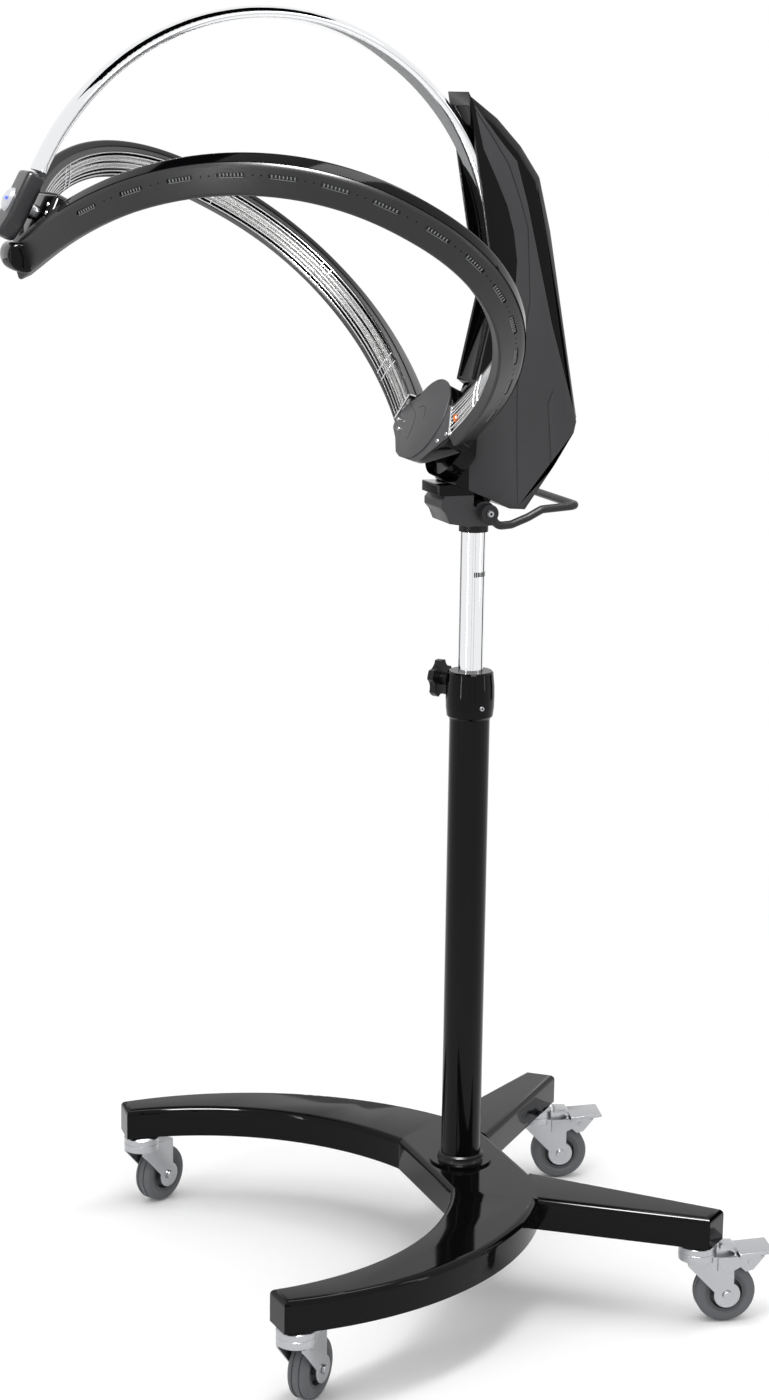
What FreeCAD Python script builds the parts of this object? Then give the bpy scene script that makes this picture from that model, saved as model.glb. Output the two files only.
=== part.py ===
import FreeCAD, Part
import math
import os
import re

import Sketcher
from FreeCAD import Placement, Rotation, Vector

# A hair colour processor on a wheeled stand. The stand is a moulded four-legged base on
# twin-fork casters and a two-stage mast. The head swivels and tilts on the mast. It
# carries a chrome arch and, between the arch's front end and the foot of the housing, a
# heater ring of two curved arms that turns about a slanting axis.
#
# Frame: +Z up, front of the stand (the side the client sits on) towards -Y, X across.
# Lengths in millimetres, angles in degrees.

doc = FreeCAD.newDocument("hair_color_processor")
sheet = doc.addObject("Spreadsheet::Sheet", "Sizes")

SIZES = [
    # stand: where the mast stands behind the middle of the footprint, and the base
    ("mast_back", 139, "mast axis behind the middle of the whole object"),
    ("wheel_radius", 37.5, "caster wheel"),
    ("leg_floor_gap", 103, "underside of the base above the floor"),
    ("leg_height", 40, "height of the base moulding"),
    ("base_edge_round", 8, "rounding of the top edges of the base"),
    ("hub_front_half", 88, "half width of the hub's front face"),
    ("hub_front", 50, "hub's front face in front of the mast"),
    ("hub_waist_half", 155, "half width of the hub at its waist"),
    ("hub_waist", 40, "waist behind the mast"),
    ("hub_rear_half", 66, "half width of the hub's rear face"),
    ("hub_rear", 66, "hub's rear face behind the mast"),
    ("front_swivel_across", 320, "front caster from the middle plane"),
    ("front_swivel_ahead", 330, "front caster in front of the mast"),
    ("rear_swivel_across", 250, "rear caster from the middle plane"),
    ("rear_swivel_back", 213, "rear caster behind the mast"),
    ("leg_tip_width", 42, "width of a leg at its tip"),
    ("leg_tip_past", 24, "leg past its caster's swivel axis"),
    ("front_leg_inner_bend", 340, "radius of a front leg's inner edge"),
    ("front_leg_outer_bend", 415, "radius of a front leg's outer edge"),
    # casters
    ("caster_trail", 35, "axle behind the swivel axis"),
    ("caster_head_radius", 23.5, "swivel race"),
    ("caster_head_height", 12, "fixed upper race"),
    ("caster_neck_radius", 17, "neck over the race"),
    ("crown_thick", 9.5, "fork crown"),
    ("king_pin_radius", 5, "pin that holds the fork"),
    ("king_head_radius", 9, "head of the king pin"),
    ("king_head_thick", 2.6, "head of the king pin"),
    ("swivel_gap", 0.3, "gap between the races"),
    ("running_gap", 0.05, "radial running clearance"),
    ("fork_plate", 2.5, "thickness of a fork cheek"),
    ("fork_gap", 2.4, "tyre to fork cheek"),
    ("fork_end_radius", 16.5, "round end of a fork cheek"),
    ("fork_rear_edge", 43, "rear edge of a fork cheek behind the swivel axis"),
    ("tyre_width", 25.2, "tyre"),
    ("tyre_inside", 24, "seat of the tyre on its rim"),
    ("groove_width", 2.2, "tread groove"),
    ("groove_depth", 1.2, "tread groove"),
    ("groove_offset", 4.6, "tread groove from the middle of the tyre"),
    ("axle_radius", 4, "caster axle"),
    ("axle_head_radius", 5.5, "caster axle head"),
    ("axle_head_thick", 3.5, "caster axle head"),
    ("brake_plate", 2, "sheet of the brake bracket and pedal"),
    ("brake_pivot_back", 61, "brake pivot behind the swivel axis"),
    ("brake_pivot_up", 82, "brake pivot above the floor"),
    ("brake_pin_radius", 2.5, "brake pivot"),
    ("pedal_length", 42, "brake pedal"),
    ("heading_front_left", 121.5, "way the front left caster trails, from +X"),
    ("heading_front_right", 133.3, "way the front right caster trails, from +X"),
    ("heading_rear_left", 76.3, "way the rear left caster trails, from +X"),
    ("heading_rear_right", 77.7, "way the rear right caster trails, from +X"),
    ("pedal_top", 98, "top of the brake pedal above the floor"),
    # mast
    ("column_radius", 25, "outer column tube"),
    ("column_wall", 2.5, "outer column tube"),
    ("column_top", 776, "top of the outer tube above the floor"),
    ("foot_ring_radius", 28.5, "ring round the column's foot"),
    ("foot_ring_height", 12, "ring round the column's foot"),
    ("foot_bead_radius", 39, "bead on the hub under the foot ring"),
    ("foot_bead_height", 3, "bead on the hub under the foot ring"),
    ("collar_bottom", 720, "clamp collar"),
    ("collar_top", 779, "clamp collar"),
    ("collar_radius", 30.2, "clamp collar at its belly"),
    ("collar_foot_radius", 27, "clamp collar at its foot"),
    ("collar_mouth_radius", 28.3, "clamp collar at its mouth"),
    ("bush_length", 70, "guide bush inside the column top"),
    ("slide_gap", 0.04, "radial clearance of the inner tube in its bush"),
    ("knob_turn", 216.9, "direction of the knob from +X"),
    ("knob_height", 764, "knob axis above the floor"),
    ("knob_distance", 40, "back face of the knob from the mast axis"),
    ("knob_thick", 8, "star knob"),
    ("knob_radius", 23.5, "star knob over its lobes"),
    ("knob_lobes", 5, "star knob"),
    ("knob_scoop", 13, "radius of the scoop between lobes"),
    ("stud_radius", 4, "stud of the knob"),
    ("tube_radius", 15.25, "inner tube"),
    ("tube_wall", 2, "inner tube"),
    ("tube_bottom", 430, "inner tube"),
    ("tube_top", 966, "inner tube"),
    ("sleeve_radius", 18, "sleeve under the head block"),
    ("sleeve_bottom", 952, "sleeve under the head block"),
    ("sleeve_length", 10, "sleeve under the head block"),
    # head joint
    ("block_half", 28, "half width of the head block"),
    ("block_front", 52, "head block in front of the mast axis"),
    ("block_top", 1000, "head block"),
    ("pivot_back", 3, "tilt axis behind the mast axis"),
    ("pivot_up", 979, "tilt axis above the floor"),
    ("pivot_boss", 13, "radius of the block's ears round the tilt axis"),
    ("tilt_pin_radius", 5, "tilt shaft"),
    ("tilt_head_radius", 9, "head of the tilt shaft"),
    ("tilt_end", 1.5, "end of the tilt shaft out of the lever"),
    ("lug_half", 9, "half width of the lug between the ears"),
    ("lug_radius", 11.5, "lug round the tilt shaft"),
    ("lever_out", 38, "lever rod from the middle plane"),
    ("lever_rod", 5, "radius of the lever rod"),
    ("lever_reach", 120, "grip bar behind the mast axis"),
    ("lever_grip", 122, "length of the grip bar"),
    # housing
    ("housing_half", 33, "half width of the housing"),
    ("side_panel_thick", 3, "side panel"),
    ("channel_half", 27, "half width of the front channel"),
    ("housing_foot_front", 21, "lower front corner in front of the mast axis"),
    ("housing_foot_up", 1007, "lower front corner"),
    ("ledge_up", 1281.95, "ledge in the channel that the arch stands on"),
    ("shelf_front", 57, "shelf that rests on the head block, in front of the mast axis"),
    ("shelf_rear", 12, "shelf"),
    ("shelf_half", 29, "half width of the shelf"),
    ("waist_front_back", 10, "front edge at its rearmost point"),
    ("waist_front_up", 1237, "front edge at its rearmost point"),
    ("crown_front", 31, "top of the housing in front of the mast axis"),
    ("crown_up", 1474, "top of the housing"),
    ("belly_back", 123, "rearmost point of the housing"),
    ("belly_up", 1086, "rearmost point of the housing"),
    ("heel_back", 53, "lower rear corner"),
    ("heel_up", 981, "lower rear corner"),
    ("cover_edge", 11, "bevel along the rear cover"),
    ("panel_groove", 1.2, "depth and width of the grooves in a side panel"),
    # arch, in the middle plane
    ("arch_slim", 1.048, "half axes of the arch's ellipse, steep one to level one"),
    ("arch_seat", 18.1, "middle of the arch's root behind the housing's front waist"),
    ("arch_end_past", 16, "front end of the arch past the rear face of the end block"),
    ("arch_end_over", 3.1, "front end of the arch over the end block"),
    ("arch_width", 48, "arch section"),
    ("arch_thick", 14, "arch section"),
    ("arch_root", 12.3, "angle of the arch's root, up from the rear"),
    ("arch_end", 162.1, "angle of the arch's front end, up from the rear"),
    # ring axis: from the rear disc up to the front pivot
    ("axis_foot_front", 67, "rear disc centre in front of the mast axis"),
    ("axis_foot_up", 1091, "rear disc centre above the floor"),
    ("axis_rise", 27.2, "rise of the ring axis towards the front"),
    ("axis_length", 520.6, "rear disc to front pivot"),
    ("disc_radius", 49, "rear hub disc"),
    ("disc_thick", 3, "rear hub plate"),
    ("hub_depth", 37, "rear hub behind its plate"),
    ("rear_root", 97, "rear hub's wing ends from the line of the arm ends"),
    ("wing_over", 27, "wing end of the rear hub above the middle of the arm"),
    ("wing_under", 18, "wing end of the rear hub below the middle of the arm"),
    ("hub_keel_half", 29, "flat under the rear hub"),
    ("hub_keel", 52, "flat under the rear hub below the axis"),
    ("cup_radius", 56, "fixed bearing cup behind the rear hub"),
    ("cup_gap", 0.4, "gap between rear hub and cup"),
    ("cup_depth", 20, "bearing cup along the axis"),
    ("shaft_radius", 8, "drive shaft of the ring"),
    # ring arms
    ("arm_drop", 52, "ends of the arms below the ring axis"),
    ("arm_rear", -24, "rear ends of the arms along the axis"),
    ("arm_reach", 401.5, "reach of an arm out from the line of its ends"),
    ("arm_splay", 59.5, "angle of each arm's plane from the middle plane"),
    ("arm_square", 0.91, "squareness of the arm's curve, 1 for an ellipse"),
    ("shell_wall", 2.5, "wall of an arm's shell"),
    ("heater_radius", 4.5, "heater tube"),
    ("heater_sides", 10, "flats that stand for the tube's round"),
    ("guard_wire", 1.6, "side of a guard wire"),
    # front end
    ("block_plate_back", 22, "rear face of the end block past the front pivot"),
    ("block_plate_thick", 22, "end block along the axis"),
    ("end_block_top", 38, "end block above the axis"),
    ("end_block_low", 41, "end block below the axis"),
    ("end_block_half", 26, "half width of the end block"),
    ("lens_long", 29, "indicator lens"),
    ("lens_wide", 18, "indicator lens"),
    ("lens_proud", 8, "indicator lens"),
    ("sensor_radius", 3.2, "temperature sensor"),
    ("sensor_length", 13, "temperature sensor"),
    ("pin_radius", 9, "front pivot pin"),
    ("front_root", 105, "front hub's arm ends from the line of the arm ends"),
    ("front_web_half", 62, "half width of the front hub's web at its top"),
    ("front_web_top", 25, "top of the front hub's web above the axis"),
    ("front_web_rear", 16, "rear face of the web behind the front pivot"),
    ("front_web_thick", 30, "front hub's web along the axis"),
]

for row, (alias, value, meaning) in enumerate(SIZES, 1):
    sheet.set(f"A{row}", meaning)
    sheet.set(f"B{row}", str(value))
    sheet.setAlias(f"B{row}", alias)
doc.recompute()

ALIASES = {alias for alias, _, _ in SIZES}
WORD = re.compile(r"[a-z][a-z_]*[a-z]")
parts = []


def number(expression):
    """Value of an expression over the sheet's aliases."""
    sheet.set("D1", "=" + str(expression))
    sheet.recompute()
    return float(sheet.get("D1"))


def bound(expression):
    """The same expression as another object writes it."""
    return WORD.sub(lambda m: f"Sizes.{m[0]}" if m[0] in ALIASES else m[0], str(expression))


def place(x="0", y="0", z="0", turn=None):
    """Placement in the stand's frame, whose Z axis is the mast's axis."""
    return Placement(Vector(number(x), number(f"({y}) + mast_back"), number(z)), turn or Rotation())


def finish(label, item, placement):
    """Register a finished sub-part under its node name."""
    item.Label = label
    item.Placement = placement
    parts.append((label, item))
    return item


# ---------------------------------------------------------------------------------------
# sketches and bodies


def body_named(label):
    return doc.addObject("PartDesign::Body", "Body_" + label)


def origin_plane(body, role):
    return next(feature for feature in body.Origin.OriginFeatures if feature.Role == role)


def sketch_on(body, role, lift="0"):
    """Sketch on one of the body's own planes, lifted along the plane's normal."""
    sketch = body.newObject("Sketcher::SketchObject", "Sketch_" + body.Name)
    sketch.AttachmentSupport = [(origin_plane(body, role), "")]
    sketch.MapMode = "FlatFace"
    sketch.setExpression("AttachmentOffset.Base.z", bound(lift))
    return sketch


def outline(sketch, corners, bends=None):
    """Closed outline through corners given as pairs of expressions.

    bends maps the number of an edge to the radius of the arc it follows; a positive
    radius bows the edge to its right-hand side.
    """
    bends = bends or {}
    spots = [Vector(number(a), number(b), 0) for a, b in corners]
    count = len(spots)
    for i, start in enumerate(spots):
        end = spots[(i + 1) % count]
        if i in bends:
            radius = number(bends[i])
            chord = end - start
            half = chord.Length / 2
            right = Vector(chord.y, -chord.x, 0).normalize()
            sag = abs(radius) - math.sqrt(radius * radius - half * half)
            peak = (start + end) / 2 + right * math.copysign(sag, radius)
            sketch.addGeometry(flat_arc(start, peak, end), False)
        else:
            sketch.addGeometry(Part.LineSegment(start, end), False)
    ends = [arc_ends(sketch, i, spots[i]) for i in range(count)]
    for i in range(count):
        following = (i + 1) % count
        sketch.addConstraint(Sketcher.Constraint("Coincident", i, ends[i][1], following, ends[following][0]))
    for i, (a, b) in enumerate(corners):
        for kind, expression, value in (("DistanceX", a, spots[i].x), ("DistanceY", b, spots[i].y)):
            mark = sketch.addConstraint(Sketcher.Constraint(kind, -1, 1, i, ends[i][0], value))
            sketch.setExpression(f"Constraints[{mark}]", bound(expression))
    for i, radius in bends.items():
        mark = sketch.addConstraint(Sketcher.Constraint("Radius", i, abs(number(radius))))
        sketch.setExpression(f"Constraints[{mark}]", bound(f"abs({radius})"))


def flat_arc(start, peak, end):
    """Counter-clockwise arc in the sketch plane over three points."""
    centre = Part.Arc(start, peak, end).toShape().Curve.Center
    angles = [math.atan2(p.y - centre.y, p.x - centre.x) for p in (start, end)]
    turn = (peak - start).cross(end - peak).z
    first, last = angles if turn > 0 else angles[::-1]
    around = Part.Circle(centre, Vector(0, 0, 1), (start - centre).Length)
    return Part.ArcOfCircle(around, first, last if last > first else last + 2 * math.pi)


def arc_ends(sketch, edge, start):
    """Vertex numbers of an edge in the outline's own sense: (start, end)."""
    near = sketch.getPoint(edge, 1)
    return (1, 2) if (Vector(near.x, near.y, 0) - start).Length < 1e-4 else (2, 1)


def circle(sketch, x, y, radius):
    """Circle bound to expressions for its centre and radius."""
    edge = sketch.addGeometry(Part.Circle(Vector(number(x), number(y), 0), Vector(0, 0, 1), number(radius)), False)
    for kind, expression in (("DistanceX", x), ("DistanceY", y)):
        mark = sketch.addConstraint(Sketcher.Constraint(kind, -1, 1, edge, 3, number(expression)))
        sketch.setExpression(f"Constraints[{mark}]", bound(expression))
    mark = sketch.addConstraint(Sketcher.Constraint("Radius", edge, number(radius)))
    sketch.setExpression(f"Constraints[{mark}]", bound(radius))


def pad(body, sketch, length, midplane=False, reverse=False):
    feature = body.newObject("PartDesign::Pad", "Pad_" + body.Name)
    feature.Profile = sketch
    feature.setExpression("Length", bound(length))
    feature.Midplane = midplane
    feature.Reversed = reverse
    return feature


def pocket(body, sketch, length, midplane=False, reverse=False):
    feature = body.newObject("PartDesign::Pocket", "Pocket_" + body.Name)
    feature.Profile = sketch
    feature.setExpression("Length", bound(length))
    feature.Midplane = midplane
    feature.Reversed = reverse
    return feature


def turned(label, profile, placement):
    """Body of revolution about its own Z axis; profile as (radius, height) pairs."""
    body = body_named(label)
    sketch = sketch_on(body, "XZ_Plane")
    outline(sketch, profile)
    feature = body.newObject("PartDesign::Revolution", "Turn_" + label)
    feature.Profile = sketch
    feature.ReferenceAxis = (sketch, ["V_Axis"])
    feature.Angle = 360
    return finish(label, body, placement)


def tube_profile(inner, outer, low, high):
    return [(inner, low), (outer, low), (outer, high), (inner, high)]


def rounded(body, feature, radius, choose):
    """Fillet the feature's edges that choose() accepts."""
    doc.recompute()
    names = [f"Edge{i}" for i, edge in enumerate(feature.Shape.Edges, 1) if choose(edge)]
    fillet = body.newObject("PartDesign::Fillet", "Round_" + body.Name)
    fillet.Base = (feature, names)
    fillet.setExpression("Radius", bound(radius))
    return fillet


def at_height(edge, height):
    return all(abs(vertex.Z - height) < 1e-3 for vertex in edge.Vertexes)


def upright(edge):
    return abs(edge.tangentAt(edge.FirstParameter).z) > 0.999


# ---------------------------------------------------------------------------------------
# base: hub and four legs, one moulding height


def base_blank(label, corners, bends, keep_sharp):
    """Plan outline raised to the base's height, its free top edges rounded."""
    body = body_named(label)
    sketch = sketch_on(body, "XY_Plane")
    outline(sketch, corners, bends)
    block = pad(body, sketch, "leg_height")
    top = number("leg_height")
    rounded(body, block, "base_edge_round",
            lambda edge: at_height(edge, top) and not keep_sharp(edge))
    return body


def make_hub():
    corners = [("-hub_front_half", "-hub_front"), ("hub_front_half", "-hub_front"),
               ("hub_waist_half", "hub_waist"), ("hub_rear_half", "hub_rear"),
               ("-hub_rear_half", "hub_rear"), ("-hub_waist_half", "hub_waist")]
    body = base_blank("base_hub", corners, None, lambda edge: abs(edge.tangentAt(0).x) < 0.99)
    bead = sketch_on(body, "XY_Plane", "leg_height - 1")
    circle(bead, "0", "0", "foot_bead_radius")
    pad(body, bead, "foot_bead_height + 1")
    bore = sketch_on(body, "XY_Plane", "-1")
    circle(bore, "0", "0", "column_radius")
    pocket(body, bore, "leg_height + foot_bead_height + 2", reverse=True)
    finish("base_hub", body, place(z="leg_floor_gap"))


def unit(dx, dy):
    """Direction cosines of a vector written as expressions."""
    length = f"sqrt(({dx})^2 + ({dy})^2)"
    return f"(({dx}) / {length})", f"(({dy}) / {length})"


def make_leg(label, side, seam, swivel, heading, bends):
    """Leg from a hub seam to its tip; side is -1 on the left and 1 on the right.

    seam holds the outer and the inner corner at the hub. The tip lies across the heading,
    half its width to each side of the swivel axis.
    """
    (outer_x, outer_y), (inner_x, inner_y) = seam
    swivel_x, swivel_y = swivel
    along_x, along_y = heading
    past, half = "leg_tip_past", "leg_tip_width / 2"
    outer_first = (1, -1) if number(along_y) > 0 else (-1, 1)
    tips = [(f"{swivel_x} + {along_x} * {past} + {along_y} * {half} * {turn}",
             f"{swivel_y} + {along_y} * {past} - {along_x} * {half} * {turn}") for turn in outer_first]
    corners = [(f"{side} * ({a})", b) for a, b in
               [(outer_x, outer_y), tips[0], tips[1], (inner_x, inner_y)]]
    seam_middle = [sum(number(p[i]) for p in (corners[0], corners[3])) / 2 for i in (0, 1)]
    body = base_blank(label, corners, {k: f"{side} * ({v})" for k, v in bends.items()},
                      lambda edge: math.dist(edge.CenterOfMass[:2], seam_middle) < 1)
    finish(label, body, place(z="leg_floor_gap"))


FRONT_HEADING = ("0.08", "-0.9968")
REAR_HEADING = unit("rear_swivel_across", "rear_swivel_back")


def make_base():
    make_hub()
    for name, side in (("left", -1), ("right", 1)):
        make_leg(f"front_leg_{name}", side,
                 (("hub_waist_half", "hub_waist"), ("hub_front_half", "-hub_front")),
                 ("front_swivel_across", "-front_swivel_ahead"), FRONT_HEADING,
                 {0: "-front_leg_outer_bend", 2: "front_leg_inner_bend"})
        make_leg(f"rear_leg_{name}", side,
                 (("hub_waist_half", "hub_waist"), ("hub_rear_half", "hub_rear")),
                 ("rear_swivel_across", "rear_swivel_back"), REAR_HEADING, {})


# ---------------------------------------------------------------------------------------
# casters: each fork turns on the king pin of a race fixed under its leg. In a caster's own
# frame X points from the swivel axis to the axle and Y lies along the axle.

CASTERS = {
    "front_left": ("-front_swivel_across", "-front_swivel_ahead"),
    "front_right": ("front_swivel_across", "-front_swivel_ahead"),
    "rear_left": ("-rear_swivel_across", "rear_swivel_back"),
    "rear_right": ("rear_swivel_across", "rear_swivel_back"),
}
RACE_LOW = "(leg_floor_gap - caster_head_height)"
CROWN_TOP = "(leg_floor_gap - caster_head_height - swivel_gap)"
CROWN_LOW = "(leg_floor_gap - caster_head_height - swivel_gap - crown_thick)"
CHEEK_IN = "(tyre_width / 2 + fork_gap)"
CHEEK_OUT = "(tyre_width / 2 + fork_gap + fork_plate)"
BRACKET_OUT = "(tyre_width / 2 + fork_gap + fork_plate + brake_plate)"
PEDAL_IN = "(tyre_width / 2 + fork_gap + fork_plate + brake_plate + swivel_gap)"
PEDAL_OUT = "(tyre_width / 2 + fork_gap + fork_plate + 2 * brake_plate + swivel_gap)"


def caster_frame(name):
    x, y = CASTERS[name]
    return place(x, y, "0", Rotation(Vector(0, 0, 1), number(f"heading_{name}")))


def axle_frame(name):
    """A caster's frame moved to its axle, with Z along the axle."""
    at_axle = Placement(Vector(number("caster_trail"), 0, number("wheel_radius")),
                        Rotation(Vector(1, 0, 0), 90))
    return caster_frame(name).multiply(at_axle)


def revolved(profile):
    """Solid of revolution about Z from (radius, height) numbers."""
    points = [Vector(r, 0, z) for r, z in profile]
    face = Part.Face(Part.makePolygon(points + points[:1]))
    return face.revolve(Vector(0, 0, 0), Vector(0, 0, 1), 360)


def make_caster_heads():
    """Four identical races with their king pins, one under each leg tip."""
    top, race_low = number("leg_floor_gap"), number(RACE_LOW)
    head_top = number(f"{CROWN_LOW} - swivel_gap")
    race, neck, pin, head = (number(name) for name in
                             ("caster_head_radius", "caster_neck_radius", "king_pin_radius", "king_head_radius"))
    shoulder = race - 1.5
    head_low = head_top - number("king_head_thick")
    profile = [(0, top), (neck, top), (shoulder, top - 2.5), (race, top - 4.5), (race, race_low),
               (pin, race_low), (pin, head_top), (head, head_top), (head, head_low), (0, head_low)]
    shape = Part.makeCompound([
        revolved(profile).translated(Vector(number(x), number(y), 0)) for x, y in CASTERS.values()])
    item = doc.addObject("Part::Feature", "CasterHeads")
    item.Shape = shape
    finish("caster_heads", item, place())


def make_fork(name):
    """Crown on the king pin and two cheeks that end round the axle."""
    body = body_named(f"caster_fork_{name}")
    crown = sketch_on(body, "XY_Plane", CROWN_LOW)
    circle(crown, "0", "0", "caster_head_radius")
    pad(body, crown, "crown_thick")
    cheeks = sketch_on(body, "XZ_Plane")
    reach = "fork_rear_edge - caster_trail"
    bend_up = f"wheel_radius + sqrt(fork_end_radius^2 - ({reach})^2)"
    outline(cheeks, [("-15.5", f"{CROWN_TOP} - 3.5"), ("-15.5", f"{CROWN_LOW} - 4"),
                     ("caster_trail - 0.97 * fork_end_radius", "wheel_radius + 0.2431 * fork_end_radius"),
                     ("fork_rear_edge", bend_up), ("fork_rear_edge", f"{CROWN_TOP} - 3.5")])
    pad(body, cheeks, f"2 * {CHEEK_OUT}", midplane=True)
    ends = sketch_on(body, "XZ_Plane")
    circle(ends, "caster_trail", "wheel_radius", "fork_end_radius")
    pad(body, ends, f"2 * {CHEEK_OUT}", midplane=True)
    between = sketch_on(body, "XZ_Plane")
    outline(between, [("-30", "0"), ("fork_rear_edge + 20", "0"),
                      ("fork_rear_edge + 20", CROWN_LOW), ("-30", CROWN_LOW)])
    pocket(body, between, f"2 * {CHEEK_IN}", midplane=True)
    axle = sketch_on(body, "XZ_Plane")
    circle(axle, "caster_trail", "wheel_radius", "axle_radius")
    pocket(body, axle, f"2 * {CHEEK_OUT} + 2", midplane=True)
    bore = sketch_on(body, "XY_Plane", f"{CROWN_LOW} - 1")
    circle(bore, "0", "0", "king_pin_radius + running_gap")
    pocket(body, bore, "crown_thick + 2", reverse=True)
    finish(f"caster_fork_{name}", body, caster_frame(name))


def mirrored(profile):
    """Profile of a turned piece that is the same on both sides of height 0."""
    return profile + [(radius, f"-({height})") for radius, height in reversed(profile)]


def make_wheel(name):
    """Axle bolt through the cheeks, rim running on it and tyre seated on the rim."""
    head = f"({CHEEK_OUT} + axle_head_thick)"
    turned(f"axle_bolt_{name}", mirrored([("0", head), ("axle_head_radius", head),
                                          ("axle_head_radius", CHEEK_OUT), ("axle_radius", CHEEK_OUT)]),
           axle_frame(name))
    hub, edge, web = f"({CHEEK_IN} - swivel_gap)", "(tyre_width / 2 - 1.6)", "4"
    turned(f"wheel_rim_{name}", mirrored([("axle_radius + running_gap", hub), ("axle_radius + 4.5", hub),
                                          ("axle_radius + 5.5", web), ("tyre_inside - 5", web),
                                          ("tyre_inside - 3.5", edge), ("tyre_inside", edge)]),
           axle_frame(name))
    side, crown = "tyre_width / 2", "wheel_radius"
    groove_in, groove_out = "groove_offset - groove_width / 2", "groove_offset + groove_width / 2"
    turned(f"wheel_tyre_{name}", mirrored([("tyre_inside", edge), ("tyre_inside + 3", side),
                                           (f"{crown} - 4", f"{side} - 0.6"), (f"{crown} - 1.2", f"{side} - 2.8"),
                                           (crown, f"{side} - 5.2"), (crown, groove_out),
                                           (f"{crown} - groove_depth", groove_out),
                                           (f"{crown} - groove_depth", groove_in), (crown, groove_in)]),
           axle_frame(name))


def make_brake(name):
    """Riveted bracket behind the fork and the foot pedal that rocks on its pin."""
    back, up = "brake_pivot_back", "brake_pivot_up"
    web = f"({CROWN_LOW} + 6)"
    bracket = body_named(f"brake_bracket_{name}")
    sketch = sketch_on(bracket, "XZ_Plane")
    outline(sketch, [("22", web), ("22", f"{up} - 13"), ("40", f"{up} - 13"), (f"{back} - 11", f"{up} - 8"),
                     (f"{back} - 4", f"{up} - 14"), (f"{back} + 5", f"{up} - 12"), (f"{back} + 19", web)])
    pad(bracket, sketch, f"2 * {BRACKET_OUT}", midplane=True)
    hollow = sketch_on(bracket, "XZ_Plane")
    outline(hollow, [("15", "40"), (f"{back} + 40", "40"), (f"{back} + 40", f"{web} - brake_plate"),
                     ("fork_rear_edge + 1", f"{web} - brake_plate"), ("fork_rear_edge + 1", f"{web} + 5"),
                     ("15", f"{web} + 5")])
    pocket(bracket, hollow, f"2 * {CHEEK_OUT}", midplane=True)
    tab = sketch_on(bracket, "XZ_Plane")
    tab_low, tab_in, tab_out = "(leg_floor_gap - 9)", "(leg_tip_past + 2)", f"({back} - 14)"
    outline(tab, [(tab_out, f"{web} - brake_plate"), (tab_out, f"{tab_low} + 2"), (f"{tab_out} - 3", f"{tab_low} + 5"),
                  (tab_in, f"{tab_low} + 6"), (tab_in, tab_low), (f"{tab_out} - 9", f"{tab_low} - 1"),
                  ("fork_rear_edge + 1", f"{web} + 2"), ("fork_rear_edge + 1", f"{web} - brake_plate")])
    pad(bracket, tab, "22", midplane=True)
    pin = sketch_on(bracket, "XZ_Plane")
    circle(pin, back, up, "brake_pin_radius")
    pad(bracket, pin, f"2 * ({PEDAL_OUT} + 1)", midplane=True)
    finish(f"brake_bracket_{name}", bracket, caster_frame(name))

    pedal = body_named(f"brake_pedal_{name}")
    sketch = sketch_on(pedal, "XZ_Plane")
    inner, outer = f"({back} - 13)", f"({back} - 13 + pedal_length)"
    outline(sketch, [(inner, "pedal_top"), (inner, "pedal_top - 4"), (f"{back} - 6", f"{up} - 5"),
                     (f"{back} + 5", f"{up} - 5"), (f"{back} + 13", "pedal_top - 4"), (outer, "pedal_top - 1"),
                     (f"{outer} + 1.5", "pedal_top + 2"), (outer, "pedal_top + 4")])
    pad(pedal, sketch, f"2 * {PEDAL_OUT}", midplane=True)
    under = sketch_on(pedal, "XZ_Plane")
    outline(under, [(f"{inner} - 5", "pedal_top - brake_plate - 0.5"), (f"{inner} - 5", "60"),
                    (f"{outer} + 5", "60"), (f"{outer} + 5", "pedal_top + 4 - brake_plate")])
    pocket(pedal, under, f"2 * {PEDAL_IN}", midplane=True)
    bore = sketch_on(pedal, "XZ_Plane")
    circle(bore, back, up, "brake_pin_radius + running_gap")
    pocket(pedal, bore, f"2 * {PEDAL_OUT} + 2", midplane=True)
    finish(f"brake_pedal_{name}", pedal, caster_frame(name))


# ---------------------------------------------------------------------------------------
# mast: outer tube in the hub, clamp collar on its top, inner tube in a guide bush. The
# collar's own X axis points at the knob.


def knob_frame():
    """Mast frame turned so that X points at the knob."""
    return place(turn=Rotation(Vector(0, 0, 1), number("knob_turn")))


def stud_hole(body, outside):
    """Hole for the knob's stud, out along the body's own X axis."""
    sketch = sketch_on(body, "YZ_Plane")
    circle(sketch, "0", "knob_height", "stud_radius + running_gap")
    pocket(body, sketch, outside, reverse=True)


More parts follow.
